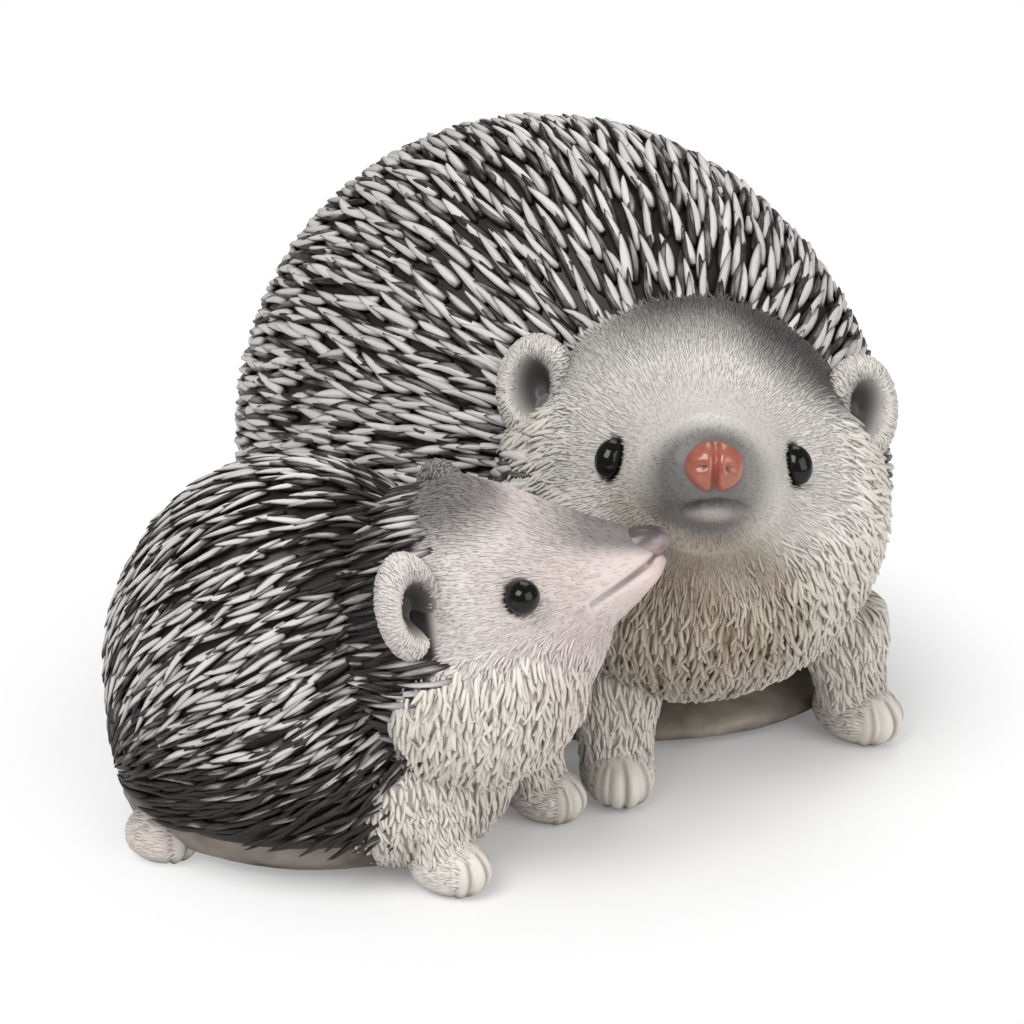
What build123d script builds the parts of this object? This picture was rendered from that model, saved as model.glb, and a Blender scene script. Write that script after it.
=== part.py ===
"""Hedgehog figurine: a mother and her young one in painted cast resin, standing on flat undersides.

Lengths are millimetres and angles are degrees. +Z is up, and a bearing of 0 looks along -Y and
turns towards +X. The origin is the middle of the underside of the whole figurine's box.
"""
from build123d import *
import math
import os

# Fit between the moulded pieces, and the grooves of the mouths
fit_clearance = 0.3
mouth_width = 0.9
mouth_depth = 1.4

# Mother's quill coat: an egg shaped dome covered with moulded quills
mother_coat_length = 168.0
mother_coat_width = 124.0
mother_coat_rise = 85.0
mother_coat_drop = 72.0
mother_coat_widest_height = 49.0
mother_coat_bearing = 62.0
mother_quill_length = 14.4
mother_quill_width = 6.0
mother_quill_relief = 2.2
mother_flow_bearing = 24.0
mother_flow_rise = 16.0

# Mother's belly: the smooth band that she rests on, and the chest behind her ruff
mother_belly_height = 9.0
mother_belly_length = 150.0
mother_belly_width = 114.0
mother_chest_width = 88.0
mother_chest_inset = 3.0
mother_chest_bearing = 30.0

# Mother's head: a ball that runs out into the muzzle
mother_head_ahead = 68.4
mother_head_aside = -5.5
mother_head_height = 64.7
mother_head_bearing = 1.5
mother_head_pitch = 28.0
mother_head_roll = -2.5
mother_face_reach = 55.0
mother_skull_radius = 43.0
mother_ruff_depth = 1.2
mother_ruff_hang = 1.5
mother_ruff_top = 4.0
mother_ruff_slant = 17.0
mother_lock_length = 11.5
mother_lock_width = 6.6
mother_lock_relief = 2.2
mother_ear_height = 24.4
mother_ear_width = 18.6
mother_ear_thickness = 8.6
mother_eye_width = 6.8
mother_eye_height = 8.8
mother_nose_width = 12.8
mother_mouth_radius = 7.5
mother_mouth_drop = 14.0

# Mother's forelegs and paws
mother_paw_length = 24.0
mother_paw_width = 17.0
mother_paw_height = 15.0
mother_leg_height = 34.0

# Baby's quill coat
baby_coat_length = 84.0
baby_coat_width = 71.0
baby_coat_rise = 49.5
baby_coat_drop = 75.0
baby_coat_widest_height = 37.0
baby_coat_bearing = 77.0
baby_quill_length = 10.6
baby_quill_width = 4.7
baby_quill_relief = 1.8
baby_flow_bearing = 98.0
baby_flow_rise = 25.0

# Baby's place beside the mother, from the middle of her coat, and how far her coat runs on ahead
baby_ahead = 57.5
baby_aside = -102.5
baby_coat_ahead = 3.0

# Baby's belly
baby_belly_height = 8.5
baby_belly_length = 72.0
baby_belly_width = 44.0
baby_chest_ahead = 26.0
baby_chest_length = 50.0
baby_chest_width = 56.0
baby_chest_height = 46.0

# Baby's head
baby_head_ahead = 37.4
baby_head_aside = -2.1
baby_head_height = 57.5
baby_head_bearing = 93.0
baby_head_pitch = 12.0
baby_head_roll = 0.0
baby_face_reach = 47.5
baby_skull_radius = 29.5
baby_ruff_depth = 1.2
baby_ruff_hang = 8.0
baby_ruff_top = 2.0
baby_ruff_slant = 6.0
baby_lock_length = 9.0
baby_lock_width = 5.4
baby_lock_relief = 1.8
baby_ear_height = 23.6
baby_ear_width = 14.4
baby_ear_thickness = 7.0
baby_eye_width = 8.0
baby_eye_height = 8.0
baby_nose_width = 6.6
baby_mouth_length = 17.0
baby_mouth_rise = 2.6

# Baby's legs and paws
baby_paw_length = 19.0
baby_paw_width = 13.5
baby_paw_height = 13.0
baby_leg_height = 27.0
baby_hindpaw_length = 18.0
baby_hindpaw_width = 15.0

# Muzzle outlines from where they leave the ball of the head: shares of the way to the nose, and of
# the width where they start
mother_muzzle_start_share = 0.28
mother_muzzle_shares = (
    (0.186, 0.884),
    (0.372, 0.678),
    (0.488, 0.533),
    (0.605, 0.443),
    (0.744, 0.351),
    (0.884, 0.270),
    (0.970, 0.165),
)
baby_muzzle_start_share = 0.2
baby_muzzle_shares = (
    (0.235, 0.865),
    (0.42, 0.68),
    (0.61, 0.505),
    (0.80, 0.346),
    (0.94, 0.21),
)

# Bands of quills from the face back to the tail: start and end as shares of a half turn from the
# flow's pole, and how many quills stand round the band as a share of the widest count
coat_band_shares = (
    (0.17, 0.30, 0.72),
    (0.304, 0.70, 1.0),
    (0.704, 0.83, 0.66),
    (0.834, 0.93, 0.34),
)
ruff_band_shares = ((0.15, 0.66, 1.0),)
ruff_ease_shares = (0.13, 0.29)
ruff_lip_share = 0.6

# A quill's ridge rises to a shoulder, then to its tip: places along a row step, and heights
quill_shoulder_share = 0.3
quill_shoulder_height_share = 0.6
quill_tip_share = 0.45

# Where the features sit on a head: shares of the face's reach, and degrees above the animal's side
mother_eye_reach_share = 0.615
mother_eye_clock = 10.0
mother_ear_reach_share = 0.165
mother_ear_clock = 31.0
mother_ear_turn = 28.0
baby_eye_reach_share = 0.32
baby_eye_clock = 22.0
baby_right_ear_reach_share = -0.10
baby_left_ear_reach_share = 0.06
baby_ear_clock = 26.0
baby_ear_turn = 45.0

# Where the paws stand, in shares of the coat's length from its middle: ahead, then to the left, with
# the paw's own bearing
mother_right_forepaw_shares = (0.482, -0.189)
mother_right_forepaw_bearing = 8.0
mother_left_forepaw_shares = (0.495, 0.202)
mother_left_forepaw_bearing = 42.0
baby_right_forepaw_shares = (0.486, -0.224)
baby_right_forepaw_bearing = 60.0
baby_left_forepaw_shares = (0.642, 0.210)
baby_left_forepaw_bearing = 62.0
baby_hindpaw_shares = (-0.279, 0.223)
baby_hindpaw_bearing = 72.0

# How the small forms follow their own main sizes
eye_depth_share = 0.8
ear_hollow_share = 0.68
ear_hollow_forward_share = 0.42
nose_lobe_share = 0.36
pad_sink_share = 0.06
band_round_share = 0.5
toe_width_share = 0.3
toe_length_share = 0.36
toe_height_share = 0.55
leg_foot_share = 0.74
leg_shoulder_share = 1.1
leg_lean_share = 0.3
toe_count = 4
facet_count = 36
outline_count = 64


def bearing_plane(centre, bearing, pitch=0.0, roll=0.0):
    """Plane at a centre with x ahead, y to the animal's left and z up."""
    turn = math.radians(bearing)
    tilt = math.radians(pitch)
    lean = math.radians(roll)
    ahead = Vector(math.sin(turn) * math.cos(tilt), -math.cos(turn) * math.cos(tilt), math.sin(tilt))
    level = Vector(math.cos(turn), math.sin(turn), 0)
    over = ahead.cross(level)
    up = over * math.cos(lean) - level * math.sin(lean)
    return Plane(origin=centre, x_dir=ahead, z_dir=up)


def place_beside(centre, bearing, ahead, aside):
    """Point on the ground reached from a centre by going ahead and then to the left."""
    turn = math.radians(bearing)
    x = centre.X + ahead * math.sin(turn) + aside * math.cos(turn)
    y = centre.Y - ahead * math.cos(turn) + aside * math.sin(turn)
    return Vector(x, y, 0)


def ellipsoid(length, width, height):
    """Ball stretched to a length along x, a width along y and a height along z."""
    return scale(Sphere(0.5), by=(length, width, height))


def dome_reach(direction, length, width, rise, drop):
    """Distance from the middle of a dome to its surface along a direction of unit length."""
    height = rise if direction.Z >= 0 else drop
    along = direction.X / (length / 2)
    across = direction.Y / (width / 2)
    up = direction.Z / height
    return 1 / math.sqrt(along**2 + across**2 + up**2)


def smooth_dome(length, width, rise, drop, extra=0.0):
    """Smooth dome, half an ellipsoid above its widest level and half a deeper or flatter one below."""
    plan = (length + 2 * extra, width + 2 * extra)
    upper = scale(Sphere(0.5, arc_size1=0, arc_size2=90), by=(*plan, 2 * (rise + extra)))
    lower = scale(Sphere(0.5, arc_size1=-90, arc_size2=0), by=(*plan, 2 * (drop + extra)))
    return upper + lower


def stitch_rings(first, second):
    """Triangles between two rings of (angle, point) pairs that hold different counts."""
    triangles = []
    i = 0
    j = 0
    while i < len(first) or j < len(second):
        point = first[i % len(first)][1]
        other = second[j % len(second)][1]
        next_angle = first[(i + 1) % len(first)][0] + 2 * math.pi * ((i + 1) // len(first))
        other_angle = second[(j + 1) % len(second)][0] + 2 * math.pi * ((j + 1) // len(second))
        if j >= len(second) or (i < len(first) and next_angle <= other_angle):
            triangles.append((point, first[(i + 1) % len(first)][1], other))
            i += 1
        else:
            triangles.append((point, second[(j + 1) % len(second)][1], other))
            j += 1
    return triangles


def ridged_skin(reach, pole, bands, radius, length, width, relief):
    """Closed solid whose surface is staggered rows of pointed ridges, laid away from a pole.

    Each ridge fills one diamond between a point behind, a point each side and a point ahead.
    It rises from the point behind over a shoulder to its tip, then drops to the point ahead,
    as one quill of a moulded coat or one lock of a moulded ruff does.
    """
    side = Vector(0, 0, 1).cross(pole).normalized()
    over = pole.cross(side)

    def spot(angle, turn, lift=0.0):
        ring = side * math.cos(turn) + over * math.sin(turn)
        direction = pole * math.cos(angle) + ring * math.sin(angle)
        return direction * (reach(direction) + lift)

    triangles = []
    previous = None
    for start_share, end_share, count_share in bands:
        start = math.pi * start_share
        end = math.pi * end_share
        rows = max(1, round((end - start) * radius / (length / 2)) - 1)
        count = max(6, round(2 * math.pi * radius * count_share / width))
        step = (end - start) / (rows + 1)
        pitch = 2 * math.pi / count
        for row in range(1, rows + 1):
            angle = start + row * step
            for place in range(count):
                left_turn = (place + (row % 2) / 2) * pitch
                turn = left_turn + pitch / 2
                back = spot(angle - step, turn)
                ahead = spot(angle + step, turn)
                left = spot(angle, left_turn)
                right = spot(angle, left_turn + pitch)
                shoulder = spot(angle - quill_shoulder_share * step, turn, quill_shoulder_height_share * relief)
                tip = spot(angle + quill_tip_share * step, turn, relief)
                triangles += [(back, shoulder, left), (back, right, shoulder)]
                triangles += [(left, shoulder, tip), (right, tip, shoulder)]
                triangles += [(left, tip, ahead), (right, ahead, tip)]
                if row == 1:
                    triangles.append((right, back, spot(angle - step, turn + pitch)))
                if row == rows:
                    triangles.append((right, spot(angle + step, turn + pitch), ahead))
        first = [(place * pitch, spot(start, place * pitch)) for place in range(count)]
        offset = ((rows + 1) % 2) / 2
        last = [((place + offset) * pitch, spot(end, (place + offset) * pitch)) for place in range(count)]
        if previous is None:
            front = pole * pole.dot(first[0][1])
            for place in range(count):
                triangles.append((first[(place + 1) % count][1], first[place][1], front))
        else:
            triangles += stitch_rings(previous, first)
        previous = last
    tail = spot(math.pi, 0)
    for place in range(len(previous)):
        triangles.append((previous[place][1], previous[(place + 1) % len(previous)][1], tail))
    faces = [Face(Wire.make_polygon(triangle, close=True)) for triangle in triangles]
    return Solid(Shell(faces))


def faceted_dome(smooth_reach, extra):
    """Dome with flat facets, everywhere outside the smooth one that is larger by the extra thickness."""
    slack = 1 / math.cos(math.pi / facet_count) ** 2
    reach = lambda direction: (smooth_reach(direction) + extra) * slack
    rings = []
    for ring in range(1, facet_count // 2):
        angle = 2 * math.pi * ring / facet_count
        points = []
        for place in range(facet_count):
            turn = 2 * math.pi * place / facet_count
            around = math.sin(angle)
            direction = Vector(around * math.cos(turn), around * math.sin(turn), math.cos(angle))
            points.append((turn, direction * reach(direction)))
        rings.append(points)
    top = Vector(0, 0, 1) * reach(Vector(0, 0, 1))
    bottom = Vector(0, 0, -1) * reach(Vector(0, 0, -1))
    triangles = []
    for place in range(facet_count):
        beside = (place + 1) % facet_count
        triangles.append((rings[0][place][1], rings[0][beside][1], top))
        triangles.append((rings[-1][beside][1], rings[-1][place][1], bottom))
    for upper, lower in zip(rings, rings[1:]):
        triangles += stitch_rings(lower, upper)
    faces = [Face(Wire.make_polygon(triangle, close=True)) for triangle in triangles]
    return Solid(Shell(faces))


def largest(shape):
    """The largest solid of a cut piece, without slivers that the cut left."""
    return max(shape.solids(), key=lambda solid: solid.volume)


def head_outline(radius, reach, start_share, muzzle_shares):
    """Arc of the ball of a head, and the curve of the muzzle that runs on from it to the nose."""
    start = radius * start_share
    out = math.sqrt(radius**2 - start**2)
    ball = Plane.XZ * ThreePointArc((-radius, 0), (0, radius), (start, out))
    points = [(start + along * (reach - start), share * out) for along, share in muzzle_shares]
    muzzle = Plane.XZ * Spline((start, out), *points, (reach, 0), tangents=((out, -start), (0, -1)))
    return ball, muzzle


def head_form(outline):
    """Solid of a head: its outline carried round the nose axis."""
    ball, muzzle = outline
    axis_line = Line(muzzle @ 1, ball @ 0)
    return revolve(make_face(ball + muzzle + axis_line), Axis.X)


def muzzle_core(radius, reach, start_share, muzzle_shares):
    """Solid of a head that lies deeper than its surface by the depth of the mouth's groove."""
    return head_form(head_outline(radius - mouth_depth, reach - mouth_depth, start_share, muzzle_shares))


def bowed_mouth(reach, radius, drop):
    """Cutter for a mouth that bows down on both sides: part of a thin tube along the nose axis."""
    tube = Circle(radius + mouth_width / 2) - Circle(radius - mouth_width / 2)
    return Pos(0, 0, -drop) * extrude(Plane.YZ * tube, 2 * reach)


def level_mouth(reach, length, rise):
    """Cutter for a mouth that runs level along both sides of the snout."""
    return Pos(reach, 0, rise) * Box(2 * length, 2 * reach, mouth_width)


def head_spot(outline, radius, along, clock, side):
    """Point on a head at a distance along the nose axis and at degrees above the animal's side."""
    muzzle = outline[1]
    if along <= (muzzle @ 0).X:
        out = math.sqrt(radius**2 - along**2)
    else:
        low = 0.0
        high = 1.0
        while high - low > 0.0001:
            middle = (low + high) / 2
            if (muzzle @ middle).X < along:
                low = middle
            else:
                high = middle
        out = (muzzle @ low).Z
    turn = math.radians(clock)
    return Vector(along, side * out * math.cos(turn), out * math.sin(turn))


def ear_form(spot, turn, side, height, width, thickness):
    """Cupped ear: a flattened ball with a hollow pressed in from its front."""
    outer = ellipsoid(thickness, width, height)
    hollow = ellipsoid(thickness, width * ear_hollow_share, height * ear_hollow_share)
    cup = outer - Pos(thickness * ear_hollow_forward_share, 0, 0) * hollow
    return Location(spot) * Rot(0, 0, side * turn) * cup


def eye_form(spot, width, height):
    """Glossy bead of an eye, let into the head, with the seam of its skin to the back."""
    return Location(spot) * Rot(0, 0, 180) * ellipsoid(width * eye_depth_share, width, height)


def nose_form(tip, width):
    """Nose with two rounded lobes side by side."""
    radius = width * nose_lobe_share
    offset = width / 2 - radius
    lobes = Pos(0, offset, 0) * Sphere(radius) + Pos(0, -offset, 0) * Sphere(radius)
    return Location(tip) * lobes


def paw_form(length, width, height):
    """Paw resting flat on the ground, with a row of toes along its front edge."""
    paw = Pos(0, 0, height * (0.5 - pad_sink_share)) * ellipsoid(length, width, height)
    toe_height = height * toe_height_share
    toe_length = length * toe_length_share
    toe_width = width * toe_width_share
    for toe in range(toe_count):
        fan = (toe + 0.5) / toe_count * 2 - 1
        forward = (length - toe_length) / 2 * math.sqrt(1 - (fan * (1 - toe_width_share)) ** 2)
        across = fan * (width - toe_width) / 2
        place = Pos(forward, across, toe_height * (0.5 - pad_sink_share))
        paw += place * ellipsoid(toe_length, toe_width, toe_height)
    return paw


def leg_form(paw_width, paw_height, lean, height):
    """Tapered leg from the middle of a paw up and back to its shoulder."""
    foot = Plane((0, 0, paw_height / 2)) * Circle(paw_width / 2 * leg_foot_share)
    shoulder = Plane((-lean, 0, height)) * Circle(paw_width / 2 * leg_shoulder_share)
    return loft([foot, shoulder])


def ground_block(span):
    """Block that fills everything below the ground."""
    return Pos(0, 0, -span / 2) * Box(2 * span, 2 * span, span)


def trimmed(piece, *others):
    """A piece cut back by the larger pieces that it lies against."""
    for other in others:
        piece = piece - other
    return largest(piece)


def coat_forms(centre, sizes, bearing, flow, widest_height, quill, seat_height):
    """Quilled coat cut flat below, and a smooth and a faceted limit that its quill tips stay inside."""
    length, width = sizes[:2]
    quill_length, quill_width, relief = quill
    flow_bearing, flow_rise = flow
    place = bearing_plane(centre + Vector(0, 0, widest_height), bearing).location
    turn = math.radians(bearing - flow_bearing)
    tilt = math.radians(flow_rise)
    pole = Vector(math.cos(turn) * math.cos(tilt), -math.sin(turn) * math.cos(tilt), math.sin(tilt))
    reach = lambda direction: dome_reach(direction, *sizes)
    skin = ridged_skin(
        reach,
        pole,
        coat_band_shares,
        (length + width) / 4,
        quill_length,
        quill_width,
        relief,
    )
    coat = place * skin - Pos(0, 0, seat_height) * ground_block(span)
    extra = relief + fit_clearance
    return coat, place * smooth_dome(*sizes, extra), place * faceted_dome(reach, extra)


def belly_band(centre, bearing, length, width, height):
    """Smooth low band that an animal rests on, with a rounded lower edge."""
    band = extrude(Ellipse(length / 2, width / 2), height)
    lower_edge = band.edges().sort_by(Axis.Z)[0]
    return bearing_plane(centre, bearing).location * fillet(lower_edge, height * band_round_share)


def outline_reach(outline, radius):
    """Distance from the middle of a head to its surface at an angle from the nose axis."""
    muzzle = outline[1]
    marks = [muzzle @ (step / outline_count) for step in range(outline_count + 1)]
    pairs = sorted((math.atan2(mark.Z, mark.X), math.hypot(mark.X, mark.Z)) for mark in marks)

    def reach(angle):
        for (first, near), (second, far) in zip(pairs, pairs[1:]):
            if angle <= second:
                return near + (far - near) * max(0, angle - first) / (second - first)
        return radius

    return reach


def ruff_reach(direction, skin, across, height, drop, lip):
    """Distance to the ruff's surface: a lip over the muzzle that swells into a ball hung below the head."""
    flat = (direction.X**2 + direction.Y**2) / (across / 2) ** 2 + direction.Z**2 / (height / 2) ** 2
    sink = direction.Z * drop / (height / 2) ** 2
    rest = 1 - (drop / (height / 2)) ** 2
    ball = (math.sqrt(sink**2 + flat * rest) - sink) / flat
    angle = math.acos(max(-1, min(1, direction.X)))
    start, end = ruff_ease_shares
    ease = max(0, min(1, (angle / math.pi - start) / (end - start)))
    ease = ease * ease * (3 - 2 * ease)
    low = min(ball, skin(angle) + lip)
    return low + (ball - low) * ease


def ruff_forms(head_place, outline, radius, depth, hang, lock, top, slant):
    """Ruff of moulded locks round the lower side of a head, and the limit its tips stay inside."""
    lock_length, lock_width, relief = lock
    across = 2 * (radius + depth)
    height = across + hang
    box_size = 2 * height
    skin_reach = outline_reach(outline, radius)
    lip = ruff_lip_share * relief
    reach = lambda direction: ruff_reach(direction, skin_reach, across, height, hang / 2, lip)
    skin = ridged_skin(
        reach,
        Vector(1, 0, 0),
        ruff_band_shares,
        (across + height) / 4,
        lock_length,
        lock_width,
        relief,
    )
    above = Rot(0, slant, 0) * Pos(0, 0, top + box_size / 2) * Box(box_size, box_size, box_size)
    limit = faceted_dome(reach, relief + 2 * fit_clearance)
    return head_place * (skin - above), head_place * (limit - above)


def leg_piece(centre, bearing, coat_length, place_shares, paw_bearing, paw, leg_height):
    """Foreleg with its paw, standing at its place beside the middle of the coat."""
    ahead_share, aside_share = place_shares
    foot = place_beside(centre, bearing, ahead_share * coat_length, aside_share * coat_length)
    length, width, height = paw
    piece = paw_form(length, width, height)
    if leg_height > height:
        piece += leg_form(width, height, leg_height * leg_lean_share, leg_height)
    return bearing_plane(foot, paw_bearing).location * piece - ground_block(span)


# Places of the two animals
span = 2 * mother_coat_length
mother_centre = Vector(0, 0, 0)
baby_centre = place_beside(mother_centre, mother_chest_bearing, baby_ahead, baby_aside)
baby_coat_centre = place_beside(baby_centre, baby_coat_bearing, baby_coat_ahead, 0)

# Mother's coat
mother_coat_sizes = (
    mother_coat_length,
    mother_coat_width,
    mother_coat_rise,
    mother_coat_drop,
)
mother_coat, mother_coat_limit, mother_coat_facets = coat_forms(
    mother_centre,
    mother_coat_sizes,
    mother_coat_bearing,
    (mother_flow_bearing, mother_flow_rise),
    mother_coat_widest_height,
    (mother_quill_length, mother_quill_width, mother_quill_relief),
    mother_belly_height,
)

# Mother's head in its place, with the ball that seats in the coat
mother_head_foot = place_beside(mother_centre, mother_chest_bearing, mother_head_ahead, mother_head_aside)
mother_head_place = bearing_plane(
    mother_head_foot + Vector(0, 0, mother_head_height),
    mother_head_bearing,
    mother_head_pitch,
    mother_head_roll,
).location
mother_outline = head_outline(
    mother_skull_radius, mother_face_reach, mother_muzzle_start_share, mother_muzzle_shares
)
mother_skull = mother_head_place * head_form(mother_outline)
mother_ball = mother_head_place * Sphere(mother_skull_radius)

# Mother's belly band, and the smooth chest that the coat leaves open behind the forelegs
mother_chest_column = Pos(mother_head_foot.X, mother_head_foot.Y, mother_head_height / 2) * Cylinder(
    mother_chest_width / 2, mother_head_height
)
mother_coat_place = bearing_plane(Vector(0, 0, mother_coat_widest_height), mother_coat_bearing).location
mother_chest = mother_chest_column & (mother_coat_place * smooth_dome(*mother_coat_sizes, -mother_chest_inset))
mother_band = belly_band(
    mother_centre, mother_coat_bearing, mother_belly_length, mother_belly_width, mother_belly_height
)
mother_belly = largest(mother_chest - mother_ball + mother_band)

# Mother's ruff
mother_ruff_whole, mother_ruff_limit = ruff_forms(
    mother_head_place,
    mother_outline,
    mother_skull_radius,
    mother_ruff_depth,
    mother_ruff_hang,
    (mother_lock_length, mother_lock_width, mother_lock_relief),
    mother_ruff_top,
    mother_ruff_slant,
)

# Baby's head in its place
baby_head_foot = place_beside(baby_centre, baby_coat_bearing, baby_head_ahead, baby_head_aside)
baby_head_place = bearing_plane(
    baby_head_foot + Vector(0, 0, baby_head_height),
    baby_head_bearing,
    baby_head_pitch,
    baby_head_roll,
).location
baby_outline = head_outline(baby_skull_radius, baby_face_reach, baby_muzzle_start_share, baby_muzzle_shares)
baby_skull = baby_head_place * head_form(baby_outline)
baby_ball = baby_head_place * Sphere(baby_skull_radius)

# Baby's coat, belly and ruff
baby_coat_sizes = (
    baby_coat_length,
    baby_coat_width,
    baby_coat_rise,
    baby_coat_drop,
)
baby_coat, baby_coat_limit, baby_coat_facets = coat_forms(
    baby_coat_centre,
    baby_coat_sizes,
    baby_coat_bearing,
    (baby_flow_bearing, baby_flow_rise),
    baby_coat_widest_height,
    (baby_quill_length, baby_quill_width, baby_quill_relief),
    baby_belly_height,
)
baby_chest = bearing_plane(baby_centre, baby_coat_bearing).location * (
    Pos(baby_chest_ahead, 0, baby_chest_height / 2 * (1 - pad_sink_share))
    * ellipsoid(baby_chest_length, baby_chest_width, baby_chest_height)
)
baby_band = belly_band(
    baby_centre, baby_coat_bearing, baby_belly_length, baby_belly_width, baby_belly_height
)
baby_belly = trimmed(baby_chest + baby_band, ground_block(span), baby_ball, mother_coat_limit, mother_ruff_limit)
baby_ruff_whole, baby_ruff_limit = ruff_forms(
    baby_head_place,
    baby_outline,
    baby_skull_radius,
    baby_ruff_depth,
    baby_ruff_hang,
    (baby_lock_length, baby_lock_width, baby_lock_relief),
    baby_ruff_top,
    baby_ruff_slant,
)

nodes = {}
nodes["mother_quill_coat"] = trimmed(mother_coat, mother_ball, mother_chest_column)
nodes["mother_belly"] = mother_belly
nodes["mother_ruff"] = trimmed(mother_ruff_whole, mother_coat_facets, mother_skull, mother_belly)
nodes["baby_quill_coat"] = trimmed(baby_coat, baby_ball, baby_chest, mother_coat_facets)
nodes["baby_belly"] = baby_belly
nodes["baby_ruff"] = trimmed(
    baby_ruff_whole, baby_coat_facets, baby_skull, baby_belly, mother_ruff_limit
)

# Faces: eyes let into the heads, noses on their tips, and ears against skull, coat and ruff
mother_mouth = bowed_mouth(mother_face_reach, mother_mouth_radius, mother_mouth_drop) - muzzle_core(
    mother_skull_radius, mother_face_reach, mother_muzzle_start_share, mother_muzzle_shares
)
baby_mouth = level_mouth(baby_face_reach, baby_mouth_length, baby_mouth_rise) - muzzle_core(
    baby_skull_radius, baby_face_reach, baby_muzzle_start_share, baby_muzzle_shares
)
mother_head = mother_skull - mother_head_place * mother_mouth
baby_head = baby_skull - baby_head_place * baby_mouth
sides = (("left", 1, baby_left_ear_reach_share), ("right", -1, baby_right_ear_reach_share))
for side_name, side, baby_ear_share in sides:
    spot = head_spot(
        mother_outline,
        mother_skull_radius,
        mother_eye_reach_share * mother_face_reach,
        mother_eye_clock,
        side,
    )
    eye = mother_head_place * eye_form(spot, mother_eye_width, mother_eye_height)
    mother_head = mother_head - eye
    nodes["mother_" + side_name + "_eye"] = largest(eye)

    spot = head_spot(
        mother_outline,
        mother_skull_radius,
        mother_ear_reach_share * mother_face_reach,
        mother_ear_clock,
        side,
    )
    ear = mother_head_place * ear_form(
        spot, mother_ear_turn, side, mother_ear_height, mother_ear_width, mother_ear_thickness
    )
    nodes["mother_" + side_name + "_ear"] = trimmed(ear, mother_skull, mother_coat_facets, mother_ruff_limit)

    spot = head_spot(
        baby_outline, baby_skull_radius, baby_eye_reach_share * baby_face_reach, baby_eye_clock, side
    )
    eye = baby_head_place * eye_form(spot, baby_eye_width, baby_eye_height)
    baby_head = baby_head - eye
    nodes["baby_" + side_name + "_eye"] = trimmed(eye, mother_skull, mother_ruff_limit)

    spot = head_spot(
        baby_outline, baby_skull_radius, baby_ear_share * baby_face_reach, baby_ear_clock, side
    )
    ear = baby_head_place * ear_form(
        spot, baby_ear_turn, side, baby_ear_height, baby_ear_width, baby_ear_thickness
    )
    nodes["baby_" + side_name + "_ear"] = trimmed(
        ear, baby_skull, baby_coat_limit, baby_ruff_limit, mother_coat_limit, mother_ruff_limit
    )

nodes["mother_head"] = largest(mother_head)
nodes["baby_head"] = trimmed(baby_head, mother_skull, mother_ruff_limit)
mother_nose = mother_head_place * nose_form(Vector(mother_face_reach, 0, 0), mother_nose_width)
nodes["mother_nose"] = trimmed(mother_nose, mother_skull)
baby_nose = baby_head_place * nose_form(Vector(baby_face_reach, 0, 0), baby_nose_width)
nodes["baby_nose"] = trimmed(baby_nose, baby_skull, mother_skull, mother_ruff_limit)

# Legs and paws
mother_paw = (mother_paw_length, mother_paw_width, mother_paw_height)
baby_paw = (baby_paw_length, baby_paw_width, baby_paw_height)
baby_hindpaw_height = (baby_belly_height - fit_clearance) / (1 - pad_sink_share)
baby_hindpaw = (baby_hindpaw_length, baby_hindpaw_width, baby_hindpaw_height)
mother_legs = (
    ("mother_right_foreleg", mother_right_forepaw_shares, mother_right_forepaw_bearing),
    ("mother_left_foreleg", mother_left_forepaw_shares, mother_left_forepaw_bearing),
)
for name, place_shares, paw_bearing in mother_legs:
    leg = leg_piece(
        mother_centre,
        mother_chest_bearing,
        mother_coat_length,
        place_shares,
        paw_bearing,
        mother_paw,
        mother_leg_height,
    )
    nodes[name] = trimmed(leg, mother_belly, mother_ball, mother_coat_facets, mother_ruff_limit)

baby_legs = (
    ("baby_right_foreleg", baby_right_forepaw_shares, baby_right_forepaw_bearing),
    ("baby_left_foreleg", baby_left_forepaw_shares, baby_left_forepaw_bearing),
)
for name, place_shares, paw_bearing in baby_legs:
    leg = leg_piece(
        baby_centre, baby_coat_bearing, baby_coat_length, place_shares, paw_bearing, baby_paw, baby_leg_height
    )
    nodes[name] = trimmed(leg, baby_belly, baby_coat_facets, baby_ruff_limit, mother_coat_limit, mother_ruff_limit)

# Baby's hind paws, flat enough to lie under the edge of the coat
for side_name, side in (("left", 1), ("right", -1)):
    ahead_share, aside_share = baby_hindpaw_shares
    paw = leg_piece(
        baby_centre,
        baby_coat_bearing,
        baby_coat_length,
        (ahead_share, side * aside_share),
        baby_hindpaw_bearing,
        baby_hindpaw,
        0,
    )
    nodes["baby_" + side_name + "_hindpaw"] = trimmed(paw, baby_belly)

# The whole figurine stands on the ground, in the middle of its own box
whole = Compound(list(nodes.values())).bounding_box()
shift = Pos(-whole.center().X, -whole.center().Y, -whole.min.Z)
os.makedirs("parts", exist_ok=True)
for name, piece in nodes.items():
    export_step(shift * piece, "parts/" + name + ".step")
print("size", whole.size.X, whole.size.Y, whole.size.Z)
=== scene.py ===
"""Looks of the hedgehog figurine: painted cast resin with moulded quills, fur strokes and locks.

Lengths are millimetres until a mesh is built. Angles are degrees where sizes name them, and radians
in the sums. +Z is up, and a bearing of 0 looks along -Y and turns towards +X. Every form is a
surface of two parameters, an angle from a pole and a turn round it, and quills, fur and locks are
strokes laid on such a surface.
"""

import math

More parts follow.
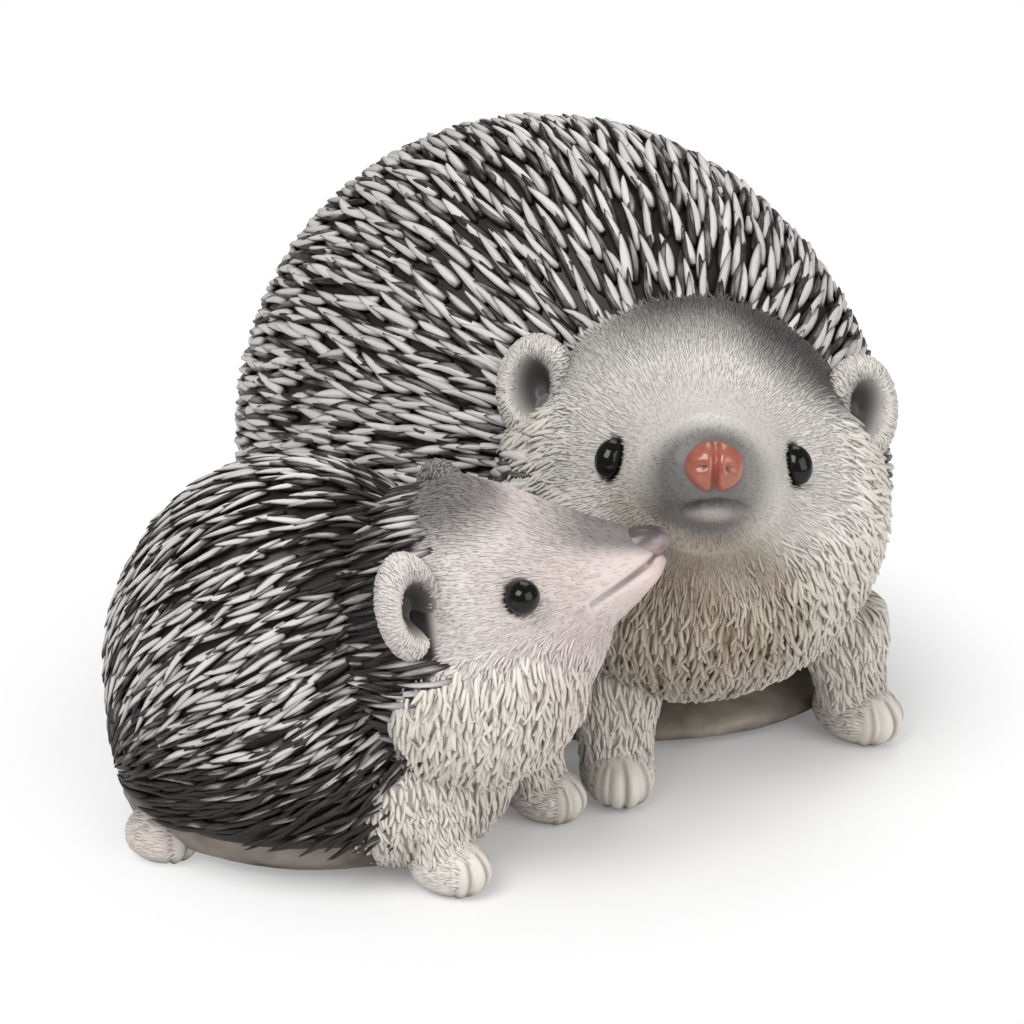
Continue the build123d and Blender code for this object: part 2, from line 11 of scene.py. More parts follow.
import bpy
import numpy as np
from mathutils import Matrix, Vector


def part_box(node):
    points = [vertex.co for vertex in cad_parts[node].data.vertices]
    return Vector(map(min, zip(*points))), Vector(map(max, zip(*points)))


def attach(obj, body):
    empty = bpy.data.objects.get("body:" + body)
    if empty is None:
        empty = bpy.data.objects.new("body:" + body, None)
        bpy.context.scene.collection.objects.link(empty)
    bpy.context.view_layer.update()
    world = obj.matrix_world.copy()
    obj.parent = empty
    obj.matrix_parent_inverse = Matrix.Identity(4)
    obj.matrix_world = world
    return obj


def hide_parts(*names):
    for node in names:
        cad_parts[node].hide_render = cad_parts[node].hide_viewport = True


MM = 0.001
TURN = 2 * math.pi
SIDES = ((-1, "right"), (1, "left"))

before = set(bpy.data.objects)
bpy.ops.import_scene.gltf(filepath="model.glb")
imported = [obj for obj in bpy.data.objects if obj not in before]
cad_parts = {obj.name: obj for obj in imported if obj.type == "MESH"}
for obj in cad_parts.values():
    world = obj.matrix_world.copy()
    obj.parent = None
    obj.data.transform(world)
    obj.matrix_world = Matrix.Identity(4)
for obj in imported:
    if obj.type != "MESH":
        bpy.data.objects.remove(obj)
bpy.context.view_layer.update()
chance = np.random.default_rng(7)


def mirrored(place, spread, height):
    """Small form of a head on both of its sides."""
    ahead, aside, up = place
    return ((ahead, aside, up), spread, height), ((ahead, -aside, up), spread, height)


# Each coat is an egg shaped dome, and its flow tells the pole that the quills are combed away from.
# Each head is a ball that runs out into the muzzle, in shares of the way to the nose and of the
# width. Hills are small forms: place ahead, to the animal's left and up, spread, and height. Rows of
# the chest's locks run from one angle to another, with a spacing along and across, and a reach. Its
# wash has a mean, a swing, a wave's size and a seed.
MOTHER = dict(
    bearing=30.0,
    coat=dict(
        length=168.0, width=124.0, rise=85.0, drop=72.0, widest=49.0, bearing=62.0, ahead=0.0,
        flow_bearing=24.0, flow_rise=16.0, seat=9.0,
    ),
    quill=dict(
        length=13.5, width=2.6, pitch=3.9, lift=2.0, overlap=0.50, reach=73.0, clear=2.0, chest=42.0,
        # How strongly painted shade darkens the quills low on the coat
        painted_shade=0.45,
    ),
    head=dict(
        ahead=68.4, aside=-5.5, height=64.7, bearing=1.5, pitch=28.0, roll=-2.5, reach=55.0, radius=43.0,
        start_share=0.28,
        muzzle_shares=(
            (0.186, 0.884), (0.372, 0.678), (0.488, 0.533), (0.605, 0.443),
            (0.744, 0.351), (0.884, 0.270), (0.970, 0.165),
        ),
    ),
    ruff=dict(depth=1.2, hang=1.5, top=4.0, slant=17.0, lip=1.3, ease_shares=(0.13, 0.29)),
    fur=dict(fine=1.0, lock=1.0, stray=0.25, fall=0.35),
    eye=dict(
        along=0.615, clock=10.0, width=6.8, height=8.8, depth=6.4, tilt=14.0, ahead=0.7, inward=0.8, up=-0.7,
    ),
    ear=dict(turn=28.0, height=24.4, width=18.6, thickness=8.6),
    ear_places={-1: (0.165, 31.0), 1: (0.165, 27.5)},
    nose=dict(place=(54.2, 0.5, -0.4), size=(9.2, 12.4, 11.0), shade=0.0),
    mouth=(
        (44.0, -10.5, -14.0), (46.5, -9.0, -11.6), (50.0, -5.6, -9.6), (52.4, -2.0, -8.3), (52.8, 1.6, -7.9),
        (51.6, 5.4, -8.4), (48.6, 8.6, -9.8), (45.4, 10.6, -11.8), (43.0, 11.4, -14.4),
    ),
    mouth_groove=dict(spread=0.8, depth=2.2),
    hills=(
        ((51.0, 1.4, -11.6), (2.6, 4.8, 1.6), 1.7),  # lower lip
        ((53.0, 1.0, -5.6), (2.6, 6.0, 1.6), 0.7),  # upper lip
        ((12.0, 0.0, 41.0), (12.0, 16.0, 7.0), 1.5),  # crown
        *mirrored((46.5, 11.5, -4.0), (5.0, 3.5, 4.5), 0.8),  # whisker pads
        *mirrored((35.6, 20.0, 2.8), (4.5, 3.4, 5.2), -0.9),  # eye sockets
        *mirrored((30.0, 17.0, 14.0), (7.0, 7.0, 4.5), 0.7),  # brows
        *mirrored((11.5, -34.5, 22.5), (4.5, 4.5, 6.5), -3.6),  # dents in front of the ears
    ),
    foreleg=dict(length=24.0, width=17.0, height=15.0, leg=34.0, swell=0.5, upper_tan=0.40, stroke=5.6, dusk=0.0),
    chest=dict(
        count=120, rise=0.3, rows=(0.02 * math.pi, 0.45 * math.pi, 3.0, 1.5, 70.0), stroke=(6.0, 1.5),
        wash=(0.5, 0.3, 20.0, 9),
    ),
    band=dict(ahead=3.0, length=152.0, width=117.0, height=9.4, spread=0.0, count=240),
)
BABY = dict(
    bearing=77.0,
    coat=dict(
        length=84.0, width=71.0, rise=49.5, drop=75.0, widest=37.0, bearing=77.0, ahead=3.0,
        flow_bearing=98.0, flow_rise=25.0, seat=13.0,
    ),
    quill=dict(
        length=11.5, width=1.85, pitch=3.0, lift=1.7, overlap=0.46, reach=40.0, clear=1.5, chest=0.0,
        # How strongly painted shade darkens the quills low on the coat
        painted_shade=0.85,
    ),
    head=dict(
        ahead=37.4, aside=-2.1, height=57.5, bearing=93.0, pitch=12.0, roll=0.0, reach=47.5, radius=29.5,
        start_share=0.2,
        muzzle_shares=((0.235, 0.865), (0.42, 0.68), (0.61, 0.505), (0.80, 0.346), (0.94, 0.21)),
    ),
    ruff=dict(depth=1.2, hang=8.0, top=2.0, slant=6.0, lip=1.1, ease_shares=(0.13, 0.29)),
    fur=dict(fine=0.86, lock=0.92, stray=0.2, fall=0.8),
    eye=dict(
        along=0.32, clock=22.0, width=8.0, height=7.3, depth=7.4, tilt=0.0, ahead=1.1, inward=0.3, up=0.4,
    ),
    ear=dict(turn=54.0, height=24.0, width=14.4, thickness=7.4),
    ear_places={-1: (-0.135, 28.5), 1: (0.06, 24.0)},
    nose=dict(place=(42.6, -0.8, 6.3), size=(12.4, 8.2, 7.4), shade=0.9),
    mouth=((45.5, -2.5, 4.4), (42.9, -6.9, 3.8), (36.8, -11.1, 2.6), (30.0, -15.2, 1.2)),
    mouth_groove=dict(spread=0.5, depth=1.0),
    hills=(
        ((-2.0, 0.0, 30.0), (13.0, 14.0, 9.0), -3.0),  # flat crown
        ((8.0, 1.0, 28.0), (4.5, 5.0, 5.0), 3.2),  # tuft
        ((41.5, 0.0, 7.5), (4.5, 4.0, 3.5), 0.5),  # bridge of the nose
        ((43.0, -6.5, 0.8), (4.0, 3.5, 1.6), 0.9),  # lower lip
        ((33.0, -4.0, -8.0), (8.0, 8.0, 6.0), 3.2),  # chin
        ((46.5, -3.0, -2.0), (3.5, 5.0, 2.6), -1.4),  # tip of the jaw, drawn back
        ((16.5, -22.9, 10.2), (4.6, 4.0, 4.6), -0.7),  # right eye's socket
        ((-6.0, -25.5, 14.0), (4.5, 4.0, 6.5), -2.6),  # dent in front of the right ear
    ),
    foreleg=dict(length=19.0, width=13.5, height=13.0, leg=27.0, swell=0.3, upper_tan=0.22, stroke=4.6, dusk=0.0),
    # The hind paws tuck under the coat, and their dusk paints shade over them
    hindpaw=dict(length=17.0, width=14.5, height=13.0, leg=0.0, swell=0.0, upper_tan=0.22, stroke=4.6, dusk=0.9),
    chest=dict(
        count=110, rise=0.35, rows=(0.35, 2.5, 2.6, 1.25, 25.0), stroke=(5.4, 1.3),
        wash=(0.22, 0.2, 15.0, 12),
    ),
    band=dict(ahead=2.0, length=68.0, width=46.0, height=14.5, spread=8.0, count=160),
)
# The baby stands ahead of the mother's middle and to her right
BABY_AHEAD = 57.5
BABY_ASIDE = -102.5

# Places of the paws, in shares of the coat's length ahead and to the left, and their bearings
PAWS = (
    ("mother", "right_foreleg", 0.482, -0.189, 8.0),
    ("mother", "left_foreleg", 0.495, 0.202, 42.0),
    ("baby", "right_foreleg", 0.486, -0.224, 60.0),
    ("baby", "left_foreleg", 0.642, 0.210, 62.0),
    ("baby", "right_hindpaw", -0.279, -0.223, 72.0),
    ("baby", "left_hindpaw", -0.279, 0.223, 72.0),
)
# Radians that the toes' wave turns for a radian round a paw, so that it has four ridges in front
TOE_WAVES = 6.43

# Camera of the photograph: degrees down, millimetres to its aim, lens and sensor width
CAMERA_ELEVATION = 22.0
CAMERA_DISTANCE = 636.0
CAMERA_LENS = 100.0
CAMERA_SENSOR = 36.0
CAMERA_AIM = (-11.0, -74.0, 65.0)
# Lamps: bearing and rise from the aim in degrees, distance and size in metres, power in watts
LAMPS = dict(
    key=(-36.0, 50.0, 0.9, 0.5, 5.9),
    fill=(48.0, 26.0, 1.0, 0.8, 5.0),
    back=(165.0, 55.0, 0.9, 0.5, 1.8),
)

# Colours of the paint, as linear shares of red, green and blue
BLACK = (0.008, 0.007, 0.007)
GREY = (0.125, 0.118, 0.115)
PINK = (0.64, 0.46, 0.43)
TAN = (0.25, 0.185, 0.125)

# Kinds of strokes on a head: rows as shares of half a turn from the nose axis, spacing along and
# across, and the length, width, relief and lift of one stroke
FINE = dict(rows=(0.035, 0.70), spacing=(2.0, 0.52), sizes=(5.0, 0.5, 0.20, 0.30), look={})
MIDDLE = dict(rows=(0.12, 0.70), spacing=(2.5, 0.9), sizes=(5.2, 0.9, 0.42, 0.75), look=dict(rings=3))
CREST = dict(
    rows=(0.22, 0.55), spacing=(2.2, 0.8), sizes=(6.4, 0.85, 0.45, 2.3),
    look=dict(rings=4, sides=5, root=-0.3),
)
LOCKS = dict(
    rows=(0.12, 0.72), spacing=(2.6, 1.15), sizes=(7.2, 1.22, 0.68, 1.5),
    look=dict(rings=5, sides=6, bend=0.10, root=-0.4, tip_power=0.55),
)
# Look of the short locks of the legs and chests
SHAGGY = dict(rings=4, sides=5, bend=0.09, root=-0.3)

# Jitter of staggered rows, as a share of their spacing
QUILL_JITTER = 0.27
FUR_JITTER = 0.42
SHORT_JITTER = 0.45

# How deep the coat's dark ground lies, and how much deeper it sinks in front of the chest
GROUND_DEPTH = 0.9
CHEST_HOLLOW = 7.0
# Rows of quills on the coat from its pole, and on the nape from the nose axis
COAT_ROWS = (0.024 * math.pi, 0.97 * math.pi)
NAPE_ROWS = (0.35 * math.pi, 0.85 * math.pi)

# Floor: its size, and where its shadow fades to white round the figurine, in metres
FLOOR_SIZE = 6.0
FLOOR_FADE = (0.08, 0.14)


def axes(bearing, pitch=0.0, roll=0.0):
    """Rows that point ahead, to the left and up for something at a bearing, pitched and rolled."""
    turn, tilt, lean = np.radians([bearing, pitch, roll])
    ahead = np.array([math.sin(turn) * math.cos(tilt), -math.cos(turn) * math.cos(tilt), math.sin(tilt)])
    level = np.array([math.cos(turn), math.sin(turn), 0.0])
    over = np.cross(ahead, level)
    up = over * math.cos(lean) - level * math.sin(lean)
    return np.array([ahead, np.cross(up, ahead), up])


def beside(centre, bearing, ahead, aside):
    """Point on the ground reached from a centre by going ahead and then to the left."""
    rows = axes(bearing)
    return np.asarray(centre) + ahead * rows[0] + aside * rows[1]


def unit(vectors):
    """Vectors of length one."""
    return vectors / np.maximum(np.linalg.norm(vectors, axis=-1, keepdims=True), 1e-9)


def level_size(vectors):
    """Length of vectors seen from above."""
    return np.linalg.norm(vectors[..., :2], axis=-1)


def smooth_step(values, low, high):
    """Share that eases from 0 at low to 1 at high."""
    share = np.clip((values - low) / (high - low), 0, 1)
    return share * share * (3 - 2 * share)


def bell(values, spread):
    """Share that is 1 at zero and fades over a spread."""
    return np.exp(-0.5 * (values / spread) ** 2)


def hill(points, centre, spread):
    """Bell shaped share that is 1 at a centre and fades over a spread along each axis."""
    away = (points - np.asarray(centre)) / np.asarray(spread)
    return np.exp(-0.5 * (away**2).sum(-1))


def waves(points, size, seed):
    """Gentle uneven swell between -1 and 1: the mean of six sine waves of mixed headings."""
    dice = np.random.default_rng(seed)
    total = np.zeros(points.shape[:-1])
    for _ in range(6):
        along = points @ unit(dice.normal(size=3))
        total = total + np.sin(along * TURN / (size * dice.uniform(0.7, 1.5)) + dice.uniform(0, TURN))
    return total / 6


def near_path(points, path):
    """Distance of points from a path of straight runs."""
    path = np.asarray(path, float)
    best = np.full(points.shape[:-1], 1e9)
    for start, end in zip(path, path[1:]):
        run = end - start
        share = np.clip(((points - start) @ run) / (run @ run), 0, 1)
        gap = np.linalg.norm(points - start - share[..., None] * run, axis=-1)
        best = np.minimum(best, gap)
    return best


def pole_direction(pole, angle, turn):
    """Direction at an angle from a pole and a turn round it."""
    side = unit(np.cross([0, 0, 1], pole))
    over = np.cross(pole, side)
    ring = np.cos(turn)[..., None] * side + np.sin(turn)[..., None] * over
    return np.cos(angle)[..., None] * pole + np.sin(angle)[..., None] * ring


class Coat:
    """Coat of one animal: an egg shaped dome seen from the pole that its quills are combed away from."""

    def __init__(self, sizes, foot):
        self.sizes = sizes
        self.rows = axes(sizes["bearing"])
        self.middle = foot + [0, 0, sizes["widest"]]
        turn = math.radians(sizes["bearing"] - sizes["flow_bearing"])
        tilt = math.radians(sizes["flow_rise"])
        self.pole = np.array([
            math.cos(turn) * math.cos(tilt), -math.sin(turn) * math.cos(tilt), math.sin(tilt),
        ])

    def reach(self, direction):
        """Distance from the middle to the dome: an ellipsoid above the middle, and another below it."""
        height = np.where(direction[..., 2] >= 0, self.sizes["rise"], self.sizes["drop"])
        along = direction[..., 0] / (self.sizes["length"] / 2)
        across = direction[..., 1] / (self.sizes["width"] / 2)
        up = direction[..., 2] / height
        return 1 / np.sqrt(along**2 + across**2 + up**2)

    def surface(self, angle, around, lift=0.0):
        """Point at an angle from the pole and a turn round it, lifted away from the middle."""
        direction = pole_direction(self.pole, angle, around)
        return self.middle + (direction * (self.reach(direction) + lift)[..., None]) @ self.rows

    def outside(self, points):
        """How far points lie outside the dome, measured from its middle."""
        away = (points - self.middle) @ self.rows.T
        size = np.linalg.norm(away, axis=-1)
        return size - self.reach(away / size[..., None])


def head_outline(head):
    """Outline of a head as distances ahead and radii, from the nape to the nose.

    An arc of the ball ends where the muzzle starts, and a smooth curve through the muzzle's shares
    runs on from there, with slopes taken from the neighbouring points.
    """
    start = head["radius"] * head["start_share"]
    out = math.sqrt(head["radius"] ** 2 - start**2)
    arc = math.pi - np.linspace(0, 1, 60) * (math.pi - math.acos(start / head["radius"]))
    ball = np.stack([head["radius"] * np.cos(arc), head["radius"] * np.sin(arc)], -1)
    knots = [(start - out * 0.02, out + start * 0.02 * start / out), (start, out)]
    run = head["reach"] - start
    knots += [(start + along * run, share * out) for along, share in head["muzzle_shares"]]
    knots = np.array(knots + [(head["reach"], 0.0)])
    slopes = np.gradient(knots, axis=0)
    slopes[-1] = (0, knots[-1, 1] - knots[-2, 1])
    pieces = [ball]
    t = np.linspace(0, 1, 16)[1:, None]
    for first in range(1, len(knots) - 1):
        pieces.append(
            (2 * t**3 - 3 * t**2 + 1) * knots[first] + (t**3 - 2 * t**2 + t) * slopes[first]
            + (3 * t**2 - 2 * t**3) * knots[first + 1] + (t**3 - t**2) * slopes[first + 1]
        )
    line = np.concatenate(pieces)
    line[:, 1] = np.maximum(line[:, 1], 0)
    return line


class Animal:
    """Mother or baby: a coat, and a head whose one skin takes in the ruff and the small forms."""

    def __init__(self, name, foot, sizes, nape):
        self.name = name
        self.foot = foot
        self.sizes = sizes
        self.head = sizes["head"]
        self.ruff = sizes["ruff"]
        self.nape = nape
        self.coat = Coat(sizes["coat"], self.beside(sizes["coat"]["ahead"], 0))
        self.middle = self.beside(self.head["ahead"], self.head["aside"]) + [0, 0, self.head["height"]]
        self.rows = axes(self.head["bearing"], self.head["pitch"], self.head["roll"])
        self.line = head_outline(self.head)
        angles = np.arctan2(self.line[:, 1], self.line[:, 0])
        order = np.argsort(angles)
        self.angle = angles[order]
        self.reach = np.hypot(self.line[:, 0], self.line[:, 1])[order]

    def beside(self, ahead, aside):
        """Point on the ground ahead of the animal's middle and to its left."""
        return beside(self.foot, self.sizes["bearing"], ahead, aside)

    def world(self, local):
        """Points of the head's own frame as points of the figurine's frame."""
        return self.middle + local @ self.rows

    def local(self, world):
        """Points of the figurine's frame as points of the head's own frame."""
        return (world - self.middle) @ self.rows.T

    def below(self, local):
        """Depth of points below the ruff's slanted top."""
        slant = math.radians(self.ruff["slant"])
        return self.ruff["top"] - local[..., 2] * math.cos(slant) - local[..., 0] * math.sin(slant)

    def plain(self, angle, turn):
        """Point of the head without its small forms, at an angle from the nose axis and a turn round it.

        Below the ruff's top, the outline swells to a stretched ball that hangs lower than the head.
        """
        ahead, out = np.cos(angle), np.sin(angle)
        direction = np.stack([ahead, out * np.cos(turn), out * np.sin(turn)], -1)
        skin = np.interp(angle, self.angle, self.reach)
        across = self.head["radius"] + self.ruff["depth"]
        drop = self.ruff["hang"] / 2
        height = across + drop
        square = direction**2
        flat = (square[..., 0] + square[..., 1]) / across**2 + square[..., 2] / height**2
        sink = direction[..., 2] * drop / height**2
        ball = (np.sqrt(sink**2 + flat * (1 - (drop / height) ** 2)) - sink) / flat
        ease = smooth_step(angle / math.pi, *self.ruff["ease_shares"])
        low = np.minimum(ball, skin + self.ruff["lip"])
        swollen = low + (ball - low) * ease
        share = smooth_step(self.below(direction * skin[..., None]), -5.0, 9.0)
        return direction * (skin + (swollen - skin) * share)[..., None]

    def skin(self, angle, turn, lift=0.0):
        """Point of the head with its hills and mouth groove, lifted along its normal."""
        step = 0.004
        point = self.plain(angle, turn)
        forward = self.plain(angle + step, turn) - self.plain(angle - step, turn)
        sideways = self.plain(angle, turn + step) - self.plain(angle, turn - step)
        normal = np.cross(forward, sideways)
        size = np.linalg.norm(normal, axis=-1, keepdims=True)
        normal = np.where(size > 1e-7, normal / np.maximum(size, 1e-9), unit(point))
        rise = np.zeros(point.shape[:-1]) + lift
        for centre, spread, height in self.sizes["hills"]:
            rise = rise + height * hill(point, centre, spread)
        groove = self.sizes["mouth_groove"]
        rise = rise - groove["depth"] * bell(near_path(point, self.sizes["mouth"]), groove["spread"])
        return point + normal * rise[..., None]

    def surface(self, angle, turn, lift=0.0):
        """The head's skin in the figurine's frame."""
        return self.world(self.skin(angle, turn, lift))

    def spot(self, along_share, clock, side):
        """Point at a share of the reach along the nose axis and at degrees above the animal's side."""
        along = along_share * self.head["reach"]
        front = self.line[:, 0] > -self.head["radius"] * 0.9
        out = np.interp(along, self.line[front, 0], self.line[front, 1])
        turn = math.radians(clock)
        return np.array([along, side * out * math.cos(turn), out * math.sin(turn)])

    def ear_frame(self, side):
        """Middle of an ear in the head's frame, and its rows: ahead, across and up."""
        turn = math.radians(side * self.sizes["ear"]["turn"])
        ahead = [math.cos(turn), math.sin(turn), 0.0]
        across = [-math.sin(turn), math.cos(turn), 0.0]
        return self.spot(*self.sizes["ear_places"][side], side), np.array([ahead, across, [0.0, 0.0, 1.0]])

    def clear_of_ears(self, local, share):
        """Whether points of the head's frame stay out of a share of each ear's width and height."""
        ear = self.sizes["ear"]
        free = np.ones(len(local), bool)
        for side, _ in SIDES:
            spot, rows = self.ear_frame(side)
            away = (local - spot) @ rows.T
            flat = away[:, 1:] / [ear["width"] / 2, ear["height"] / 2]
            free &= (np.linalg.norm(flat, axis=1) > share) | (away[:, 0] < -8.0)
        return free

    def eye_place(self, side):
        """Middle of an eye and the rows of its own axes, in the head's frame."""
        eye = self.sizes["eye"]
        place = self.spot(eye["along"], eye["clock"], side) + [eye["ahead"], -side * eye["inward"], eye["up"]]
        tilt = math.radians(side * eye["tilt"])
        rows = [[1, 0, 0], [0, math.cos(tilt), math.sin(tilt)], [0, -math.sin(tilt), math.cos(tilt)]]
        return place, np.array(rows)

    def eye_size(self):
        """Depth, width and height of an eye."""
        return np.array([self.sizes["eye"][way] for way in ("depth", "width", "height")])

    def eye_gap(self, local, sides=(-1, 1)):
        """Distance of points from the edge of the nearest eye on the given sides."""
        gaps = []
        for side in sides:
            place, rows = self.eye_place(side)
            share = np.linalg.norm((local - place) @ rows.T / (self.eye_size() / 2), axis=-1)
            gaps.append((share - 1) * self.sizes["eye"]["width"] / 2)
        return np.min(gaps, axis=0)


def mother_nape(local):
    """How far ahead on the mother's head quills reach: far on her right cheek, below the ear."""
    cheek = smooth_step(13 - local[..., 2], 0, 8) * (local[..., 1] < 0) * smooth_step(local[..., 2], -26, -18)
    return -2.0 + 19.0 * cheek - 30.0 * (local[..., 2] < 8) * (cheek < 0.05)


def baby_nape(local):
    """How far ahead on the baby's head quills reach: less below the ears."""
    return -2.0 - 12.5 * smooth_step(-local[..., 2], -2, 8)


mother = Animal("mother", np.zeros(3), MOTHER, mother_nape)
baby = Animal("baby", mother.beside(BABY_AHEAD, BABY_ASIDE), BABY, baby_nape)

# The figurine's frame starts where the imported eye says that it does
low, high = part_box("mother_right_eye")
eye_middle = (np.array(low) + np.array(high)) / 2 / MM
origin = eye_middle - mother.world(mother.spot(MOTHER["eye"]["along"], MOTHER["eye"]["clock"], -1))


def pole_to_pole(count):
    """Even angles from one pole to the other."""
    return np.linspace(0, math.pi, count)


def turns(count):
    """Even turns round a full circle."""
    return np.linspace(0, TURN, count, endpoint=False)


def tube_faces(rings, count):
    """Quads between rings of points, and triangles to a point at each end that comes after them."""
    place = np.arange(count)
    following = (place + 1) % count
    strip = np.stack([place, following, following + count, place + count], -1)
    quads = (strip + np.arange(rings - 1)[:, None, None] * count).reshape(-1, 4)
    last = (rings - 1) * count
    start = np.stack([following, place, np.full(count, rings * count)], -1)
    end = np.stack([last + place, last + following, np.full(count, rings * count + 1)], -1)
    return [quads, np.concatenate([start, end])]


def outward(points, face_sets):
    """Faces, turned over where the volume that they enclose comes out negative."""
    total = 0.0
    away = points - points.mean(0)
    for faces in face_sets:
        for corner in range(1, faces.shape[1] - 1):
            first, second, third = (away[faces[:, which]] for which in (0, corner, corner + 1))
            total += (np.cross(first, second) * third).sum()
    return [faces[:, ::-1] for faces in face_sets] if total < 0 else face_sets


def closed_skin(surface, angles, count):
    """Points and faces of a closed skin: a ring of points at each inner angle, and a pole at each end."""
    rings = surface(*np.meshgrid(angles[1:-1], turns(count), indexing="ij")).reshape(-1, 3)
    points = np.concatenate([rings, surface(angles[[0, -1]], np.zeros(2))])
    return points, outward(points, tube_faces(len(angles) - 2, count))


def painted_skin(surface, angles, count, rise, paint):
    """Closed skin as a part, painted by a function of its places."""
    points, face_sets = closed_skin(surface, angles, count)
    return points, face_sets, dict(rise=rise, along=0.5, tone=0.5, **paint(points))


def build(name, parts, material, nodes=()):
    """Mesh object from parts in millimetres: points, face sets, and fields of numbers per point."""
    points = np.concatenate([part[0] for part in parts])
    starts = np.cumsum([0] + [len(part[0]) for part in parts])
    face_sets = [faces + start for part, start in zip(parts, starts) for faces in part[1]]
    mesh = bpy.data.meshes.new(name)
    corners = np.concatenate([faces.ravel() for faces in face_sets]).astype(np.int32)
    counts = np.concatenate([np.full(len(faces), faces.shape[1]) for faces in face_sets])
    starts = np.concatenate([[0], np.cumsum(counts)[:-1]]).astype(np.int32)
    mesh.vertices.add(len(points))
    places = (points + origin) * MM
    places[:, 2] = np.maximum(places[:, 2], 0)
    mesh.vertices.foreach_set("co", places.astype(np.float32).ravel())
    mesh.loops.add(len(corners))
    mesh.loops.foreach_set("vertex_index", corners)
    mesh.polygons.add(len(counts))
    mesh.polygons.foreach_set("loop_start", starts)
    mesh.polygons.foreach_set("use_smooth", np.ones(len(counts), bool))
    mesh.update(calc_edges=True)
    for field in sorted({field for part in parts for field in part[2]}):
        values = np.concatenate([np.broadcast_to(part[2].get(field, 0.0), len(part[0])) for part in parts])
        attribute = mesh.attributes.new(field, "FLOAT", "POINT")
        attribute.data.foreach_set("value", values.astype(np.float32))
    mesh.materials.append(material)
    thing = bpy.data.objects.new(name, mesh)
    bpy.context.scene.collection.objects.link(thing)
    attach(thing, "root")
    if nodes:
        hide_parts(*nodes)


def column(look, key, count):
    """One number for each stroke, from a look that gives one for all of them or one for each."""
    return np.broadcast_to(np.asarray(look[key], float), count)[:, None]


def spines_on(surface, first, second, look, t):
    """Ground points along the spine of each stroke laid on a surface, and steps outwards from them.

    A stroke's length and sideways bend are turned by its heading and divided by how far the surface
    runs for a radian of each parameter.
    """
    count = len(first)
    step = 1e-3
    here = surface(first, second)
    size_first = np.linalg.norm(surface(first + step, second) - here, axis=-1)[:, None] / step
    size_second = np.linalg.norm(surface(first, second + step) - here, axis=-1)[:, None] / step
    size_first = np.maximum(size_first, 0.4 * np.median(size_first))
    size_second = np.maximum(size_second, 1e-3)
    length = column(look, "length", count)
    forward = (t - 0.5) * length
    sideways = column(look, "bend", count) * length * (1 - (2 * t - 1) ** 2)
    heading = column(look, "heading", count)
    spine_first = first[:, None] + (np.cos(heading) * forward - np.sin(heading) * sideways) / size_first
    spine_second = second[:, None] + (np.sin(heading) * forward + np.cos(heading) * sideways) / size_second
    ground = surface(spine_first, spine_second)
    return ground, surface(spine_first, spine_second, np.ones_like(spine_first)) - ground


def spindles(surface, first, second, look):
    """Spindle shaped strokes on a surface, as a part: points, face sets, and fields.

    A ring of points stands round the spine at each step, as wide and high as the spindle is there,
    the spine lifts from its root to its tip, and both ends are closed. The fields are the rise round
    a ring, the share along the spine, and one tone for each stroke.
    """
    count = len(first)
    rings, sides = look["rings"], look["sides"]
    t = np.concatenate([[0], (np.arange(rings) + 0.5) / rings, [1]])
    ground, step_out = spines_on(surface, first, second, look, t[None])
    root = column(look, "root", count)
    lift = root + (column(look, "tip", count) - root) * t[None] ** 1.3
    tangent = unit(np.gradient(ground, axis=1))
    across = unit(np.cross(tangent, step_out))
    normal = np.cross(across, tangent)
    spine = ground + normal * lift[..., None]
    profile = t ** look["root_power"] * (1 - t) ** look["tip_power"]
    profile = (profile / profile.max())[None, 1:-1]
    angles = turns(sides) + TURN / 4
    top = np.where(np.sin(angles) < 0, np.sin(angles) * 0.5, np.sin(angles))
    wide = (column(look, "width", count) / 2 * profile)[..., None] * np.cos(angles)
    high = (column(look, "height", count) * profile)[..., None] * top
    ring = spine[:, 1:-1, None] + across[:, 1:-1, None] * wide[..., None]
    ring = ring + normal[:, 1:-1, None] * high[..., None]
    per = rings * sides + 2
    points = np.concatenate([ring.reshape(count, per - 2, 3), spine[:, :1], spine[:, -1:]], axis=1)
    quads, fans = outward(points[0], tube_faces(rings, sides))
    base = (np.arange(count) * per)[:, None, None]
    face_sets = [(faces[None] + base).reshape(-1, faces.shape[1]) for faces in (fans, quads)]
    fields = dict(
        rise=np.tile(np.concatenate([np.tile((np.sin(angles) + 1) / 2, rings), [0.3, 0.3]]), count),
        along=np.tile(np.concatenate([np.repeat(t[1:-1], sides), [0, 1]]), count),
        tone=np.repeat(chance.random(count), per),
    )
    return points.reshape(-1, 3), face_sets, fields


def painted_strokes(part, count, fields):
    """Part of strokes with more fields, each given as one number for each stroke."""
    points, face_sets, all_fields = part
    for field, values in fields.items():
        all_fields[field] = np.repeat(np.broadcast_to(values, count), len(points) // count)
    return points, face_sets, all_fields


def fur(
    surface, first, second, paint, length, width, relief, lift, stray,
    heading=0.0, root=-0.12, bend=0.05, rings=2, sides=4, tip_power=0.75,
):
    """Strokes of fur on a surface as a part, painted by a function of the places where they stand."""
    count = len(first)
    look = dict(
        heading=heading + chance.normal(0, stray, count),
        length=length * chance.uniform(0.75, 1.25, count),
        width=width * chance.uniform(0.8, 1.2, count),
        height=relief * chance.uniform(0.8, 1.2, count),
        root=root,
        tip=lift * chance.uniform(0.4, 1.2, count),
        bend=chance.normal(0, bend, count),
        rings=rings, sides=sides, root_power=0.55, tip_power=tip_power,
    )
    return painted_strokes(spindles(surface, first, second, look), count, paint(surface(first, second)))


